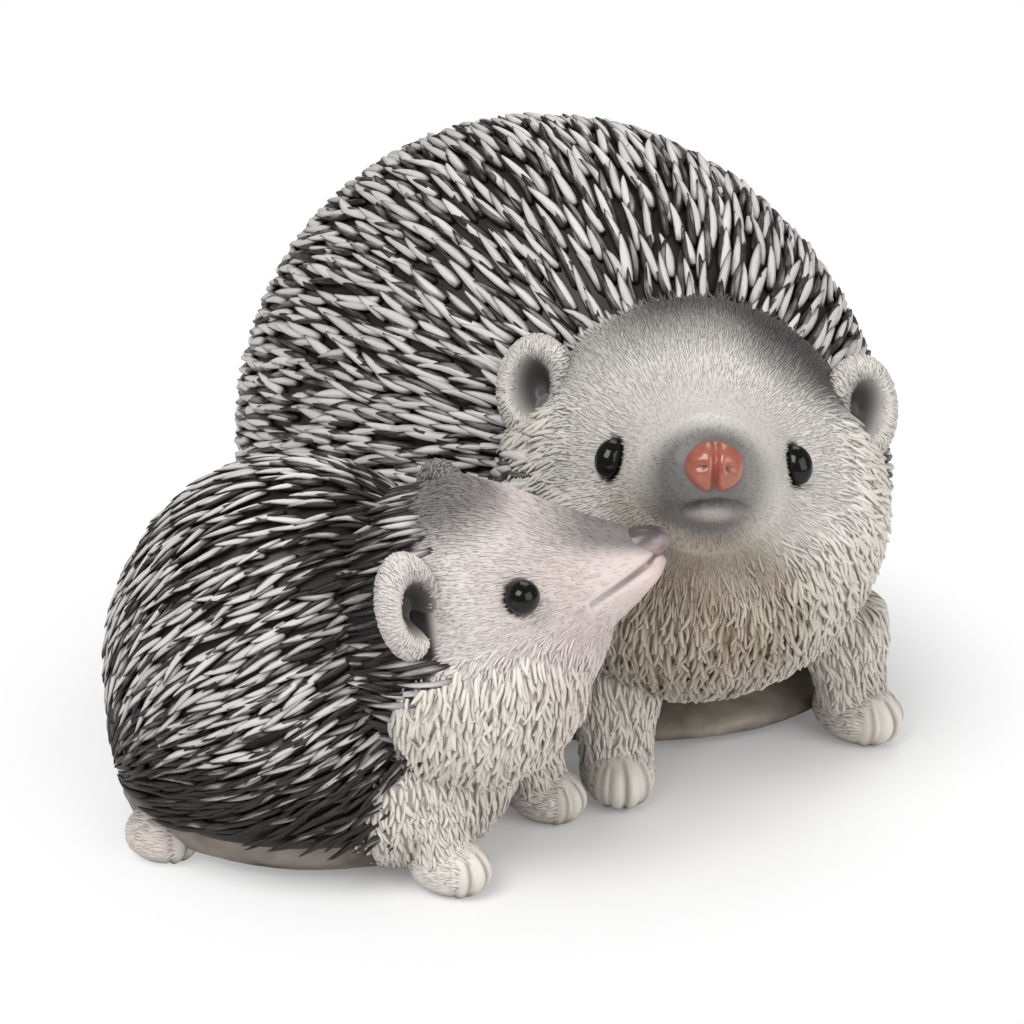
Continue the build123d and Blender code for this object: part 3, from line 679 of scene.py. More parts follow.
def staggered(low, high, step, width, reach, jitter):
    """Places of strokes in staggered rows between two angles from a pole, with some jitter.

    A reach tells how far a radian runs, so rows are about a step apart and places about a width.
    """
    firsts = []
    seconds = []
    rows = max(1, int((high - low) * reach / step))
    for row in range(rows):
        angle = low + (row + 0.5) / rows * (high - low)
        count = max(3, int(TURN * reach * abs(math.sin(angle)) / width))
        around = (np.arange(count) + (row % 2) / 2 + chance.uniform(-jitter, jitter, count)) / count * TURN
        seconds.append(around + chance.uniform(0, 0.3) / count)
        firsts.append(angle + chance.uniform(-jitter, jitter, count) * step / reach)
    return np.concatenate(firsts), np.concatenate(seconds)


class Output:
    """Output of a node. Sums of outputs and numbers add nodes of their own."""

    def __init__(self, nodes, socket):
        self.nodes = nodes
        self.socket = socket

    def sum(self, kind, first, second):
        """Output of one sum."""
        return self.nodes.add("ShaderNodeMath", 0, {"operation": kind}, i0=first, i1=second)

    def held(self):
        """The same sum, held between 0 and 1."""
        self.socket.node.use_clamp = True
        return self

    def __add__(self, other):
        return self.sum("ADD", self, other)

    def __mul__(self, other):
        return self.sum("MULTIPLY", self, other)

    def __sub__(self, other):
        return self.sum("SUBTRACT", self, other)

    def __rsub__(self, other):
        return self.sum("SUBTRACT", other, self)

    def __pow__(self, other):
        return self.sum("POWER", self, other)


class Nodes:
    """Nodes of a material or of the surround, with short ways to add to them."""

    def __init__(self, owner):
        owner.use_nodes = True
        self.owner = owner
        self.tree = owner.node_tree

    def put(self, socket, value):
        """Sets an input to a number or colour, or links an output to it."""
        if isinstance(value, Output):
            self.tree.links.new(value.socket, socket)
        elif socket.type == "RGBA":
            socket.default_value = (*value, 1)
        else:
            socket.default_value = value

    def add(self, kind, output, settings=None, **inputs):
        """Output of a new node. Inputs are given by name or, as i0, i1 and so on, by number."""
        node = self.tree.nodes.new(kind)
        for key, value in (settings or {}).items():
            setattr(node, key, value)
        for key, value in inputs.items():
            self.put(node.inputs[int(key[1:]) if key[1:].isdigit() else key], value)
        return Output(self, node.outputs[output])

    def fields(self, *names):
        """Outputs of numbers stored with the points of a mesh."""
        return [self.add("ShaderNodeAttribute", "Fac", {"attribute_name": name}) for name in names]

    def place(self):
        """Output of the object's own coordinates."""
        return self.add("ShaderNodeTexCoord", "Object")

    def noise(self, scale, detail=3.0, place=None):
        """Output of a noise on the object's own coordinates, or on a given place."""
        place = place or self.place()
        return self.add("ShaderNodeTexNoise", "Fac", Vector=place, Scale=scale, Detail=detail, Roughness=0.55)

    def mixed(self, share, first, second):
        """Output of two colours mixed by a share."""
        return self.add("ShaderNodeMix", 2, {"data_type": "RGBA"}, i0=share, i6=first, i7=second)

    def ramp(self, value, low, low_colour, high, high_colour):
        """Output of a colour that runs from one colour to another between two values."""
        output = self.add("ShaderNodeValToRGB", "Color", Fac=value)
        stops = ((low, low_colour), (high, high_colour))
        for element, (place, colour) in zip(output.socket.node.color_ramp.elements, stops):
            element.position = place
            element.color = (*colour, 1)
        return output

    def finish(self, colour, bump, levels):
        """Material with a colour, a bump of strength, distance and height, and even shader levels."""
        shader = self.tree.nodes["Principled BSDF"]
        self.put(shader.inputs["Base Color"], colour)
        strength, distance, height = bump
        bumped = self.add("ShaderNodeBump", 0, Strength=strength, Distance=distance, Height=height)
        self.put(shader.inputs["Normal"], bumped)
        for name, level in levels.items():
            shader.inputs[name].default_value = level
        return self.owner


def dimmed(colour, share):
    """Colour times a share."""
    return tuple(part * share for part in colour)


def quill_paint(name, dark, brown, pale):
    """Dark wash with pale paint dry brushed along each quill's ridge, less at its ends."""
    nodes = Nodes(bpy.data.materials.new(name))
    rise, along, tone, cover = nodes.fields("rise", "along", "tone", "cover")
    place = nodes.add("ShaderNodeCombineXYZ", 0, X=along * 2.2, Y=rise * 6.0, Z=tone * 90.0)
    streak = nodes.noise(1.6, 2.0, place)
    ends = (along * (1.0 - along) * 4.0) ** 0.35
    amount = rise * ends * cover + (streak - 0.5) * 0.35
    brushed = nodes.ramp(amount, 0.40, (0, 0, 0), 0.72, (1, 1, 1))
    ground = nodes.mixed(nodes.noise(90.0), dark, brown)
    tint = nodes.mixed(tone * 0.6, pale, dimmed(pale, 0.62))
    colour = nodes.mixed(brushed, ground, tint)
    return nodes.finish(colour, (0.35, 0.0004, streak), {"Roughness": 0.45, "Specular IOR Level": 0.35})


def fur_paint(name, pale, wash, depth=0.55):
    """Pale paint over fur strokes, with a wash in the grooves, and tan, grey, pink and black by fields."""
    nodes = Nodes(bpy.data.materials.new(name))
    rise, along, tone, warm = nodes.fields("rise", "along", "tone", "warm")
    shade, blush, ink = nodes.fields("shade", "blush", "ink")
    patch = nodes.noise(60.0, 4.0)
    tip = rise * along * 1.1
    light = nodes.mixed(tone * 0.5, pale, dimmed(pale, 0.78))
    tanned = (warm * (patch + 0.35)).held() * (1.25 - tip * 0.75).held()
    light = nodes.mixed(tanned, light, TAN)
    groove = (1.0 - rise) * depth * (patch + 0.5)
    groove = (groove + warm * (0.95 - rise)).held()
    colour = nodes.mixed(groove, light, wash)
    dusk = nodes.mixed(rise, dimmed(GREY, 0.45), dimmed(GREY, 1.35))
    for share, over in ((shade, dusk), (blush, PINK), (ink, BLACK)):
        colour = nodes.mixed(share, colour, over)
    bump = (0.3, 0.0003, nodes.noise(700.0))
    return nodes.finish(colour, bump, {"Roughness": 0.42, "Specular IOR Level": 0.4})


def gloss_paint(name, low, high, roughness, scale, coat, shine=0.5):
    """Glossy paint whose tint drifts a little."""
    nodes = Nodes(bpy.data.materials.new(name))
    ink, shade = nodes.fields("ink", "shade")
    colour = nodes.mixed(nodes.noise(scale), low, high)
    colour = nodes.mixed(ink, colour, dimmed(low, 0.15))
    colour = nodes.mixed(shade, colour, (0.06, 0.052, 0.055))
    return nodes.finish(colour, (0.15, 0.0003, nodes.noise(scale * 3)), {
        "Roughness": roughness, "Specular IOR Level": shine, "Coat Weight": coat, "Coat Roughness": 0.08,
    })


def band_paint(name):
    """Brown and grey wash over the smooth base band, darker in patches."""
    nodes = Nodes(bpy.data.materials.new(name))
    colour = nodes.ramp(nodes.noise(55.0, 5.0), 0.32, (0.055, 0.043, 0.033), 0.68, (0.33, 0.285, 0.235))
    return nodes.finish(colour, (0.5, 0.0006, nodes.noise(220.0, 4.0)), {"Roughness": 0.55})


quill_material = quill_paint(
    "painted_quills", (0.006, 0.005, 0.005), (0.032, 0.024, 0.019), (0.59, 0.565, 0.55),
)
mother_face = fur_paint("mother_face_paint", (0.66, 0.64, 0.595), (0.25, 0.21, 0.17))
baby_face = fur_paint("baby_face_paint", (0.665, 0.615, 0.59), (0.38, 0.31, 0.28))
ruff_material = fur_paint("ruff_paint", (0.70, 0.67, 0.60), (0.15, 0.10, 0.06), 0.62)
limb_material = fur_paint("limb_paint", (0.72, 0.685, 0.63), (0.20, 0.15, 0.11))
eye_material = gloss_paint("eye_gloss", (0.002, 0.002, 0.002), (0.005, 0.005, 0.004), 0.10, 200.0, 0.0, 0.3)
mother_nose = gloss_paint("nose_paint", (0.20, 0.042, 0.025), (0.37, 0.125, 0.080), 0.26, 260.0, 0.35)
baby_nose = gloss_paint("baby_nose_paint", (0.21, 0.15, 0.155), (0.37, 0.28, 0.285), 0.32, 300.0, 0.2)
band_material = band_paint("base_paint")


def add_coat(animal, dark_below):
    """Coat of one animal: a dark ground, a low layer of dark quills and a full layer of pale ones.

    The ground sinks, and no quills stand, in front of the chest, which shows there instead.
    """
    coat = animal.coat
    quill = animal.sizes["quill"]
    seat = coat.sizes["seat"]
    radius = animal.head["radius"]
    name = animal.name + "_coat_"

    def ground(angle, around):
        points = coat.surface(angle, around, -GROUND_DEPTH)
        away = level_size(points - animal.middle)
        front = 1 - smooth_step(away, quill["chest"] - 4, quill["chest"] + 3)
        front = front * smooth_step(58 - points[..., 2], 0, 12)
        points = coat.surface(angle, around, -GROUND_DEPTH - CHEST_HOLLOW * front)
        points[..., 2] = np.maximum(points[..., 2], seat)
        return points

    def laid(surface, first, second, scale, cover):
        place = surface(first, second)
        count = len(first)
        look = dict(
            heading=chance.normal(0, 0.13, count) + 0.10 * waves(place, 30.0, 3),
            length=quill["length"] * scale * chance.uniform(0.75, 1.2, count),
            width=quill["width"] * scale * chance.uniform(0.8, 1.15, count),
            height=quill["width"] * 0.55 * scale,
            root=-0.5,
            tip=quill["lift"] * scale * chance.uniform(0.6, 1.15, count),
            bend=chance.normal(0, 0.04, count),
            rings=6, sides=6, root_power=0.3, tip_power=0.7,
        )
        part = spindles(surface, first, second, look)
        # Painted shade: quills low on the sides are painted darker, by the coat's share of it
        painted_shade = dark_below(place) * chance.uniform(0.4, 1.0, count)
        shares = cover * chance.uniform(0.78, 1.0, count) * (1 - quill["painted_shade"] * painted_shade)
        return painted_strokes(part, count, dict(cover=shares))

    fields = dict(rise=0.0, along=0.5, tone=0.5, cover=0.0)
    skin = closed_skin(ground, pole_to_pole(90), 160)
    build(name + "ground", [(*skin, fields)], quill_material, (animal.name + "_quill_coat",))
    spacing = quill["length"] * quill["overlap"], quill["pitch"]
    for layer, scale, cover in (("low", 0.9, 0.55), ("top", 1.0, 1.0)):
        first, second = staggered(*COAT_ROWS, *spacing, quill["reach"], QUILL_JITTER)
        place = coat.surface(first, second)
        away = place - animal.middle
        free = place[:, 2] > seat + quill["clear"]
        free &= np.linalg.norm(away, axis=1) > radius - 0.33 * quill["length"]
        free &= animal.clear_of_ears(animal.local(place), 0.9)
        free &= (level_size(away) > quill["chest"]) | (place[:, 2] > 44)
        parts = [laid(coat.surface, first[free], second[free], scale, cover)]
        first, second = staggered(*NAPE_ROWS, *spacing, radius, QUILL_JITTER)
        place = animal.surface(first, second)
        local = animal.local(place)
        free = (coat.outside(place) > -2.5) & (local[:, 0] < animal.nape(local))
        free &= animal.clear_of_ears(local, 0.9)
        parts.append(laid(animal.surface, first[free], second[free], scale, cover))
        build(name + layer + "_quills", parts, quill_material)


def mother_quill_shade(place):
    """Share of painted shade on the mother's quills: darker low on her sides."""
    return smooth_step(34 - place[:, 2], 0, 22) * 0.6


def baby_quill_shade(place):
    """Share of painted shade on the baby's quills: darker low on its sides, and near its head."""
    near_head = 0.6 * smooth_step(43 - np.linalg.norm(place - baby.middle, axis=1), 0, 12)
    return np.maximum(smooth_step(46 - place[:, 2], 0, 26), near_head)


add_coat(mother, mother_quill_shade)
add_coat(baby, baby_quill_shade)


def off_nose(local):
    """Degrees between the nose axis and the way to points."""
    return np.degrees(np.arccos(np.clip(unit(local)[..., 0], -1, 1)))


def mother_chunk(local):
    """Share by which the mother's fur grows from fine strokes into locks: below, and out on the cheeks."""
    angle = off_nose(local)
    bib = smooth_step(angle, 26, 60) * smooth_step(mother.below(local), -4, 14)
    cheek = smooth_step(angle, 46, 70) * smooth_step(26 - local[..., 2], 0, 18)
    return np.maximum(bib, cheek)


def baby_chunk(local):
    """Share by which the baby's fur grows from fine strokes into locks, below the cheek."""
    return smooth_step(off_nose(local), 28, 62) * smooth_step(baby.below(local), -3, 12)


def bare_ink(animal, local, sides, eye_rim, mouth_ink, mouth_rim):
    """Black round an animal's eyes, along its mouth and behind its face, below the quills."""
    eyes = 1 - smooth_step(animal.eye_gap(local, sides), *eye_rim)
    mouth = mouth_ink * (1 - smooth_step(near_path(local, animal.sizes["mouth"]), *mouth_rim))
    return eyes + mouth + smooth_step(animal.nape(local) + 0.5 - local[..., 0], 0, 2.5)


def mother_paint(points):
    """Paint on the mother's head: grey round the muzzle and below the quills, brown wash on the bib."""
    local = mother.local(points)
    x, y, z = local[..., 0], local[..., 1], local[..., 2]
    round_muzzle = np.sqrt((y / 15.5) ** 2 + ((z + 3.0) / 13.5) ** 2)
    muzzle = (1 - smooth_step(round_muzzle, 0.62, 1.05)) * smooth_step(x, 30, 38)
    muzzle = muzzle * (1 - 0.3 * smooth_step(y, 4, 12))
    lip = hill(local, (51.0, 1.4, -10.8), (3.0, 4.5, 1.2))
    side = 0.25 + 0.75 * smooth_step(y, -26, -6)
    crown = smooth_step(30 + 3 * smooth_step(y, 4, 16) - x, 0, 15) * smooth_step(z, 12, 24) * side
    ears = hill(local, (11, -35.5, 21.8), (4, 4, 6)) + hill(local, (11, 35.5, 21.8), (4, 4, 6))
    right_cheek = 0.32 * hill(local, (22, -36, -6), (14, 8, 12))
    bib = smooth_step(-z, 12, 26) * smooth_step(x, -2, 10)
    brown = bib * (1 - 0.7 * smooth_step(y, 8, 30)) * (0.95 + 0.5 * waves(points, 26.0, 5))
    brown = brown + 0.35 * hill(local, (40, -16, -9), (6, 6, 5)) + 0.75 * hill(local, (42, 2, -16), (8, 8, 4))
    grey = np.maximum(muzzle * 0.98 * (1 - 0.7 * lip), crown) + right_cheek + 0.9 * ears
    ink = bare_ink(mother, local, (-1, 1), (0.3, 1.3), 0.95, (0.5, 1.5))
    ink = ink + crown * (0.40 + 0.20 * smooth_step(y, 2, 14))
    return dict(shade=np.clip(grey, 0, 1), warm=np.clip(1.35 * brown, 0, 1), ink=np.clip(ink, 0, 1))


def baby_paint(points):
    """Paint on the baby's head: grey crown and snout top, pink face and lip."""
    local = baby.local(points)
    x, y, z = local[..., 0], local[..., 1], local[..., 2]
    crown = smooth_step(25 - x, 0, 10) * smooth_step(z, 19.5, 26.5)
    top = z / np.maximum(np.hypot(y, z), 1e-6)
    snout = smooth_step(top, 0.60, 0.90) * smooth_step(x, 16, 34)
    lip = hill(local, (43.5, -6.5, 1.5), (5.0, 4.5, 3.2))
    grey = np.maximum(crown * 0.9, snout * 0.85) + 0.9 * hill(local, (-6, -25.5, 14), (4, 4, 6))
    ink = bare_ink(baby, local, (-1,), (0.2, 1.1), 0.75, (0.25, 0.9)) + 0.12 * crown
    return dict(
        shade=np.clip(grey, 0, 1),
        warm=0.16 * smooth_step(-z, 14, 30),
        blush=np.clip(0.22 * smooth_step(x, 4, 26) + 0.35 * lip, 0, 0.8) * (1 - snout),
        ink=np.clip(ink, 0, 1),
    )


def add_head(animal, chunk, paint, face):
    """Head of one animal: its skin, the fine strokes of its fur, and the locks of its ruff."""
    radius, reach = animal.head["radius"], animal.head["reach"]
    scales = animal.sizes["fur"]
    name = animal.name + "_head"
    angles = np.concatenate([np.linspace(0, 0.55, 90)[:-1], np.linspace(0.55, math.pi, 120)])
    skin = painted_skin(animal.surface, angles, 220, 0.42, paint)
    build(name + "_skin", [skin], face, (name,))

    def rows(kind, size):
        """Places of one kind of strokes in rows over the head."""
        spacing = [part * size for part in kind["spacing"]]
        first, second = staggered(*(share * math.pi for share in kind["rows"]), *spacing, radius, FUR_JITTER)
        spots = animal.surface(first, second)
        return first, second, animal.coat.outside(spots), animal.local(spots)

    def open_fur(kind, size):
        """Places on the open fur, the headings down from them, their shares of locks, and how far ahead."""
        first, second, edge, local = rows(kind, size)
        free = (edge > -1.5) & (local[:, 0] > animal.nape(local) - 1.0)
        free &= animal.clear_of_ears(local, 0.7) & (animal.eye_gap(local) > 0.7)
        free &= near_path(local, animal.sizes["mouth"]) > 1.3
        first, second, local = first[free], second[free], local[free]
        down = np.arctan2(-np.cos(second), -np.cos(first) * np.sin(second))
        return first, second, scales["fall"] * down, chunk(local), local[:, 0]

    def strokes(kind, first, second, size, stray, **more):
        """Strokes of one kind and size."""
        sizes = [part * size for part in kind["sizes"]]
        return fur(animal.surface, first, second, paint, *sizes, stray, **kind["look"], **more)

    size = scales["fine"]
    first, second, down, share, ahead = open_fur(FINE, size)
    keep = share + chance.uniform(-0.2, 0.2, len(share)) < 0.35
    grown = size * (1 - 0.5 * smooth_step(ahead[keep], reach * 0.45, reach * 0.9))
    turned = np.clip(share * 2, 0, 1) * down
    fine = strokes(FINE, first[keep], second[keep], grown, 0.12, heading=turned[keep])
    first, second, down, share, _ = open_fur(MIDDLE, size)
    keep = np.abs(share + chance.uniform(-0.15, 0.15, len(share)) - 0.42) < 0.24
    turned = np.clip(share * 2, 0, 1) * down
    middle = strokes(MIDDLE, first[keep], second[keep], size, 0.2, heading=turned[keep])
    first, second, edge, local = rows(CREST, size)
    rim = (edge > -5.0) & (edge < 2.5) & (local[:, 2] > radius * 0.45) & animal.clear_of_ears(local, 1.0)
    crest = strokes(CREST, first[rim], second[rim], size, 0.16)
    build(name + "_fur", [fine, middle, crest], face)
    size = scales["lock"]
    first, second, down, share, _ = open_fur(LOCKS, size)
    keep = share + chance.uniform(-0.15, 0.15, len(share)) > 0.52
    grown = size * (0.72 + 0.4 * share[keep])
    locks = strokes(LOCKS, first[keep], second[keep], grown, scales["stray"], heading=down[keep])
    build(animal.name + "_ruff_locks", [locks], ruff_material, (animal.name + "_ruff",))


add_head(mother, mother_chunk, mother_paint, mother_face)
add_head(baby, baby_chunk, baby_paint, baby_face)


def add_ear(animal, side, side_name, material, dusk=0.0):
    """Cupped ear: from the hollow's middle over a thick rim to the back, with strokes across the rim.

    Across the ear, points run from the hollow's middle to an ellipse. Ahead, the front sheet bulges
    like the back one, less a bell shaped hollow.
    """
    sizes = animal.sizes["ear"]
    spot, rows = animal.ear_frame(side)
    half = np.array([sizes["width"], sizes["height"]]) / 2
    thick = sizes["thickness"]

    def surface(angle, around, lift=0.0):
        share = np.sin(angle)
        front = np.cos(angle) > 0
        bulge = thick * 0.5 * np.sqrt(np.maximum(1 - share**4, 0))
        hollow = thick * 0.75 * (1 - smooth_step(share, 0.12, 0.66))
        depth = np.where(front, bulge - hollow, -bulge)
        inner = np.where(front, 1 - share, 0)
        out = share * half[0] * np.cos(around) - inner * side * half[0] * 0.06
        up = share * half[1] * np.sin(around) - inner * half[1] * 0.04
        rounded = np.stack([np.cos(angle), share * np.cos(around), share * np.sin(around)], -1)
        local = np.stack([depth, out, up], -1) + rounded * np.asarray(lift)[..., None]
        return animal.world(spot + local @ rows)

    def paint(points):
        away = (animal.local(points) - spot) @ rows.T
        flat = (away[..., 1:] + [side * half[0] * 0.14, -half[1] * 0.04]) / half
        front = smooth_step(away[..., 0], -thick * 0.42, -thick * 0.30)
        share = np.linalg.norm(flat, axis=-1)
        return dict(
            shade=np.maximum(dusk, front * (1 - smooth_step(share, 0.34, 0.76))),
            ink=0.55 * front * (1 - smooth_step(share, 0.15, 0.58)),
            warm=0.08,
        )

    skin = painted_skin(surface, pole_to_pole(70), 96, 0.45, paint)
    size = sizes["height"] / 24.0
    first, second = staggered(0.62, 2.75, 1.5 * size, 0.78 * size, half.mean(), SHORT_JITTER)
    rim = fur(surface, first, second, paint, 3.1 * size, 0.72, 0.30, 0.35, 0.25, bend=0.08)
    name = f"{animal.name}_{side_name}_ear"
    build(name, [skin, rim], material, (name,))


for side, side_name in SIDES:
    add_ear(mother, side, side_name, mother_face)
    add_ear(baby, side, side_name, baby_face, 0.85 * (side > 0))


def ball_surface(place, rows, size, forms=None):
    """Surface of a stretched ball at a place, with added forms that depend on the direction."""

    def surface(angle, around, lift=0.0):
        direction = pole_direction(np.array([1.0, 0.0, 0.0]), angle, around)
        swell = forms(direction) if forms else 0.0
        local = direction * (np.asarray(size) / 2 + np.asarray(lift + swell)[..., None])
        return place + local @ rows

    return surface


def add_eye(animal, side, side_name):
    """Glossy bead of an eye."""
    place, rows = animal.eye_place(side)
    surface = ball_surface(animal.world(place), rows @ animal.rows, animal.eye_size())
    skin = closed_skin(surface, pole_to_pole(40), 56)
    name = f"{animal.name}_{side_name}_eye"
    build(name, [(*skin, {})], eye_material, (name,))


for side, side_name in reversed(SIDES):
    add_eye(mother, side, side_name)
    add_eye(baby, side, side_name)


def add_nose(animal, material):
    """Nose with two lobes parted by a groove, and nostrils; grey on top where a shade is given."""
    nose = animal.sizes["nose"]
    name = animal.name + "_nose"

    def forms(direction):
        x, y, z = direction[..., 0], direction[..., 1], direction[..., 2]
        groove = bell(y, 0.10) * smooth_step(x, -0.1, 0.4) * (1 + 0.9 * smooth_step(-z, -0.2, 0.7))
        nostril = bell(np.abs(y) - 0.52, 0.16) * bell(z + 0.12, 0.13) * (x > 0)
        uneven = waves(direction * 10, 6.0, 11)
        return nose["size"][1] / 2 * (-0.17 * groove - 0.09 * nostril + 0.025 * uneven)

    surface = ball_surface(animal.world(np.array(nose["place"])), animal.rows, nose["size"], forms)
    skin = closed_skin(surface, pole_to_pole(60), 80)
    local = unit(animal.local(skin[0]) - np.array(nose["place"]))
    nostril = bell(np.abs(local[:, 1]) - 0.55, 0.13) * bell(local[:, 2] + 0.15, 0.10)
    top = nose["shade"] * smooth_step(local[:, 2], 0.0, 0.55)
    fields = dict(ink=0.6 * nostril * (local[:, 0] > 0), shade=top)
    build(name, [(*skin, fields)], material, (name,))


add_nose(mother, mother_nose)
add_nose(baby, baby_nose)


def paw_surface(foot, rows, sizes):
    """Paw: a ball with its lower side cut flat, and grooves between four toes along its front."""

    def toes(direction):
        heading = np.arctan2(direction[..., 1], direction[..., 0])
        front = smooth_step(np.cos(heading), 0.35, 0.65) * smooth_step(0.85 - direction[..., 2], 0, 0.5)
        ridge = np.abs(np.sin(heading * TOE_WAVES)) ** 0.8
        return front * (ridge - 0.6) * 0.95

    ball = ball_surface(np.zeros(3), np.eye(3), (sizes["length"], sizes["width"], sizes["height"]), toes)

    def surface(angle, around, lift=0.0):
        points = ball(angle, around, lift) + [0, 0, sizes["height"] * 0.44]
        points[..., 2] = np.maximum(points[..., 2], 0.0)
        return foot + points @ rows

    return surface


def leg_surface(foot, rows, sizes):
    """Leg: a round section that runs from the paw up and back to the shoulder, rounded at both ends."""

    def surface(angle, around, lift=0.0):
        share = (1 - np.cos(angle)) / 2
        cap = np.minimum(1, np.sin(angle) * 1.6) ** 0.6
        flare = 0.97 - 0.17 * np.sin(math.pi * np.clip(share * 1.6, 0, 1)) + sizes["swell"] * share
        out = sizes["width"] / 2 * flare * cap + lift
        ahead = -0.3 * sizes["leg"] * share
        up = sizes["height"] * 0.4 + (sizes["leg"] - sizes["height"] * 0.4) * share
        return foot + np.stack([ahead + out * np.cos(around), out * np.sin(around), up], -1) @ rows

    return surface


def add_limb(name, foot, bearing, sizes):
    """Paw and foreleg, with strokes of fur that run down the leg and over the paw."""
    rows = axes(bearing)
    stroke = sizes["stroke"]

    def paint(points):
        up = points[..., 2]
        return dict(
            # Tan in uneven patches that grows from low on the paw up the leg
            warm=sizes["upper_tan"] * (0.6 + 0.5 * waves(points, 14.0, 8)) * smooth_step(up, 2.0, 14.0),
            # Painted shade: grey on the top of a paw, by its dusk share
            shade=sizes["dusk"] * smooth_step(up, 7.0, 14.0),
            blush=0.5 * sizes["dusk"] * smooth_step(12.0 - up, 0.0, 6.0),
        )

    paw = paw_surface(foot, rows, sizes)
    skin = closed_skin(paw, pole_to_pole(80), 110)
    local = (skin[0] - foot) @ rows.T
    ridge = np.abs(np.sin(np.arctan2(local[:, 1], local[:, 0]) * TOE_WAVES))
    crease = smooth_step(local[:, 0], sizes["length"] * 0.12, sizes["length"] * 0.34)
    crease = crease * (1 - smooth_step(ridge, 0.0, 0.75))
    crease = crease * smooth_step(sizes["height"] * 0.95 - local[:, 2], 0, 3)
    # Painted shade: each paw is darker and browner where it meets the ground.
    contact_shade = 1 - smooth_step(skin[0][:, 2], 0.3, 3.5)
    # Painted shade: the paw's dusk share greys all of its skin
    parts = [(*skin, dict(
        rise=0.85 - 0.6 * crease - 0.4 * contact_shade, along=0.5, tone=0.4,
        warm=0.02 + 0.3 * crease + 0.35 * contact_shade, shade=0.3 * sizes["dusk"],
    ))]
    if sizes["leg"] > sizes["height"]:
        leg = leg_surface(foot, rows, sizes)
        parts.append(painted_skin(leg, pole_to_pole(50), 72, 0.35, paint))
        first, second = staggered(0.5, 2.9, stroke * 0.55, stroke * 0.26, sizes["leg"] * 0.42, SHORT_JITTER)
        parts.append(fur(
            leg, first, second, paint, stroke, stroke * 0.24, 0.6, 0.8, 0.22, heading=math.pi, **SHAGGY,
        ))
    first, second = staggered(0.9, 2.6, stroke * 0.42, stroke * 0.19, sizes["length"] * 0.45, SHORT_JITTER)
    free = paw(first, second)[:, 2] > sizes["height"] * 0.22
    first, second = first[free], second[free]
    parts.append(fur(paw, first, second, paint, stroke * 0.8, stroke * 0.17, 0.16, 0.2, 0.16, rings=3))
    build(name, parts, limb_material, (name,))


for owner, limb, ahead_share, aside_share, bearing in PAWS:
    animal = dict(mother=mother, baby=baby)[owner]
    length = animal.sizes["coat"]["length"]
    foot = animal.beside(ahead_share * length, aside_share * length)
    add_limb(f"{owner}_{limb}", foot, bearing, animal.sizes[limb.split("_")[1]])


def add_belly(animal, chest, shows):
    """Chest of an animal with short locks where it shows, and the base band that it rests on."""
    sizes = animal.sizes["chest"]
    mean, swing, wave, seed = sizes["wash"]

    def paint(points):
        return dict(warm=mean + swing * waves(points, wave, seed), shade=0.0)

    first, second = staggered(*sizes["rows"], SHORT_JITTER)
    free = shows(chest(first, second))
    locks = fur(chest, first[free], second[free], paint, *sizes["stroke"], 0.6, 1.0, 0.25, **SHAGGY)
    skin = painted_skin(chest, pole_to_pole(70), sizes["count"], sizes["rise"], paint)
    build(animal.name + "_chest", [skin, locks], limb_material)
    band = animal.sizes["band"]

    def surface(angle, around):
        """An ellipse that swells from a rounded lower edge to the coat's seat, a little uneven."""
        share = (1 - np.cos(angle)) / 2
        edge = 1 - 0.5 * band["height"] / band["length"] * (1 - 2 * share) ** 2
        out = np.where(share < 0.5, edge, 1.0) * np.sin(angle) ** 0.18
        wide = 2 * band["spread"] * np.clip(share * 1.15, 0, 1) ** 0.8
        ahead = out * (band["length"] + wide) / 2 * np.cos(around)
        aside = out * (band["width"] + wide) / 2 * np.sin(around)
        points = np.stack([ahead, aside, band["height"] * share], -1) @ animal.coat.rows
        swell = (0.6 * waves(points * [1, 1, 2.5], 17.0, 21) + 0.4 * waves(points, 5.0, 22)) * np.sin(angle)
        return animal.beside(band["ahead"], 0) + points + swell[..., None] * unit(points * [1, 1, 0])

    skin = closed_skin(surface, pole_to_pole(26), band["count"])
    build(animal.name + "_band", [(*skin, {})], band_material, (animal.name + "_belly",))


def mother_chest(angle, around, lift=0.0):
    """Mother's chest: her coat's dome, set back a little in front and further inside the coat."""
    away = level_size(mother.coat.surface(angle, around, -3.2) - mother.middle)
    points = mother.coat.surface(angle, around, -1.6 - 6.6 * smooth_step(away, 38, 46) + lift)
    points[..., 2] = np.maximum(points[..., 2], 0.2)
    return points


baby_rows = axes(BABY["bearing"])
baby_ball = ball_surface(
    baby.beside(26.0, 0) + [0, 0, 21.6],
    np.array([[0, 0, 1.0], baby_rows[1], baby_rows[0]]),
    (46.0, 56.0, 50.0),
)


def baby_chest(angle, around, lift=0.0):
    """Baby's chest: a stretched ball that rests flat on the ground, seen from its top."""
    points = baby_ball(angle, around, lift)
    points[..., 2] = np.maximum(points[..., 2], 0.2)
    return points


def mother_front(spots):
    """Whether places on the mother's chest show below her head."""
    return (level_size(spots - mother.middle) < 41) & (spots[:, 2] < 44) & (spots[:, 2] > 2)


def baby_front(spots):
    """Whether places on the baby's chest show: all of them, as they stand above the ground."""
    return spots[:, 2] > 0


add_belly(mother, mother_chest, mother_front)
add_belly(baby, baby_chest, baby_front)


def put_in_scene(name, data, place, aim):
    """Lamp or camera at a place, turned towards a point."""
    thing = bpy.data.objects.new(name, data)
    bpy.context.scene.collection.objects.link(thing)
    thing.location = place
    thing.rotation_euler = (Vector(aim) - thing.location).to_track_quat("-Z", "Y").to_euler()
    return thing


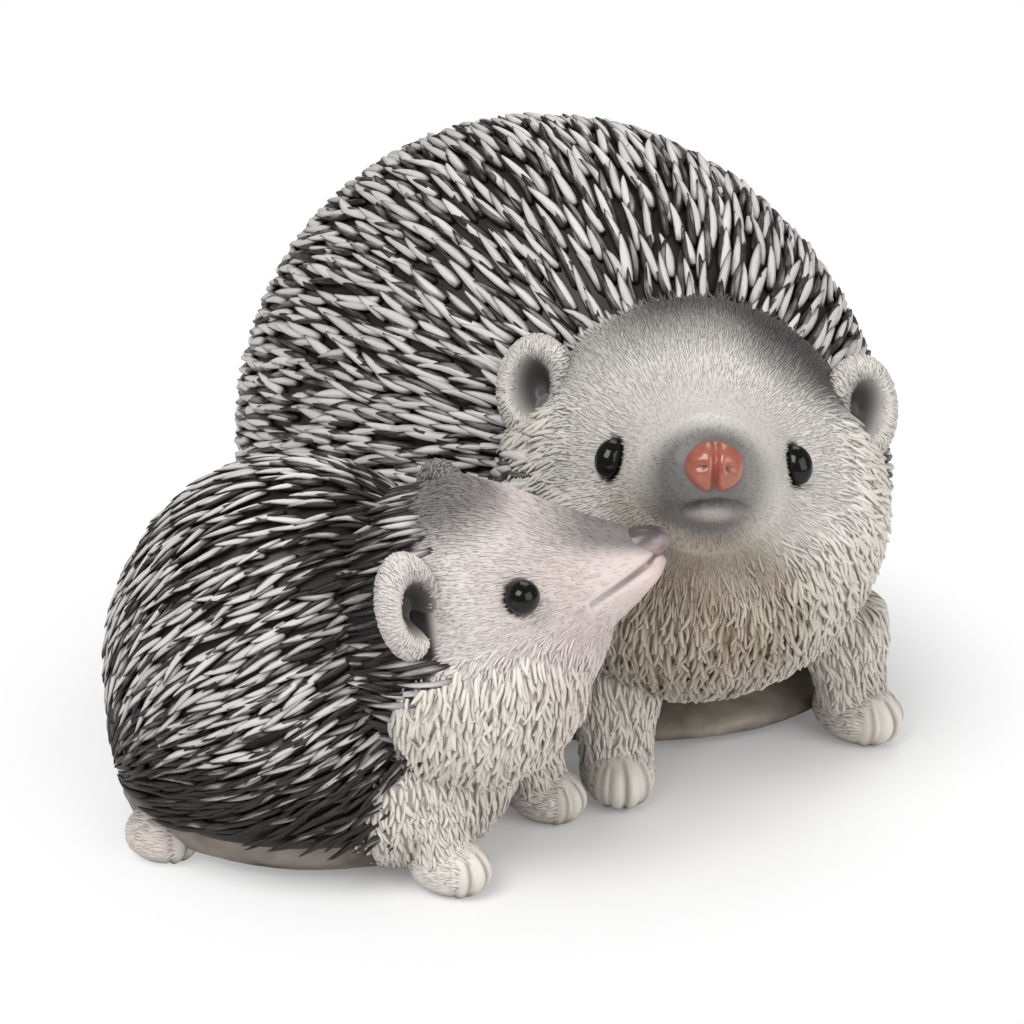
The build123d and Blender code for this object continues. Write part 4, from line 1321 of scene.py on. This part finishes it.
def add_floor():
    """Pale floor that keeps the shadow near the figurine and turns white further out."""
    bpy.ops.mesh.primitive_plane_add(size=FLOOR_SIZE, location=(0, 0, 0))
    floor = bpy.context.object
    floor.name = "floor"
    nodes = Nodes(bpy.data.materials.new("floor_paint"))
    shader = nodes.tree.nodes["Principled BSDF"]
    shader.inputs["Base Color"].default_value = (0.80, 0.80, 0.80, 1)
    shader.inputs["Roughness"].default_value = 0.95
    away = nodes.add("ShaderNodeVectorMath", "Value", {"operation": "LENGTH"}, i0=nodes.place())
    fade = nodes.add(
        "ShaderNodeMapRange", 0, {"interpolation_type": "SMOOTHSTEP"}, Value=away,
        **{"From Min": FLOOR_FADE[0], "From Max": FLOOR_FADE[1], "To Min": 0.13},
    )
    share = fade * nodes.add("ShaderNodeLightPath", "Is Camera Ray")
    glow = nodes.add("ShaderNodeEmission", 0, Color=(1, 1, 1), Strength=1.0)
    both = nodes.add("ShaderNodeMixShader", 0, i0=share, i1=Output(nodes, shader.outputs[0]), i2=glow)
    nodes.put(nodes.tree.nodes["Material Output"].inputs["Surface"], both)
    floor.data.materials.append(nodes.owner)


def add_surround():
    """White surround: full white to the camera, half as bright to the object, less in its gloss."""
    world = bpy.data.worlds.new("surround")
    bpy.context.scene.world = world
    nodes = Nodes(world)
    background = nodes.tree.nodes["Background"]
    seen = nodes.add("ShaderNodeLightPath", "Is Camera Ray")
    gloss = nodes.add("ShaderNodeLightPath", "Is Glossy Ray")
    nodes.put(background.inputs["Strength"], seen * 0.5 + 0.5 - gloss * 0.25)
    nodes.put(background.inputs["Color"], (1, 1, 1))


def add_lights_and_camera():
    """Soft square lamps round the aim, and the photograph's camera."""
    aim = (np.array(CAMERA_AIM) + origin) * MM
    for name, (bearing, rise, distance, size, power) in LAMPS.items():
        light = bpy.data.lights.new(name, "AREA")
        light.energy = power
        light.size = size
        put_in_scene(name, light, aim + axes(bearing, rise)[0] * distance, aim)
    camera = bpy.data.cameras.new("photo_view")
    camera.lens = CAMERA_LENS
    camera.sensor_width = CAMERA_SENSOR
    place = aim + axes(0.0, CAMERA_ELEVATION)[0] * CAMERA_DISTANCE * MM
    bpy.context.scene.camera = put_in_scene("photo_view", camera, place, aim)
    bpy.context.scene.view_settings.view_transform = "Standard"


add_floor()
add_surround()
add_lights_and_camera()
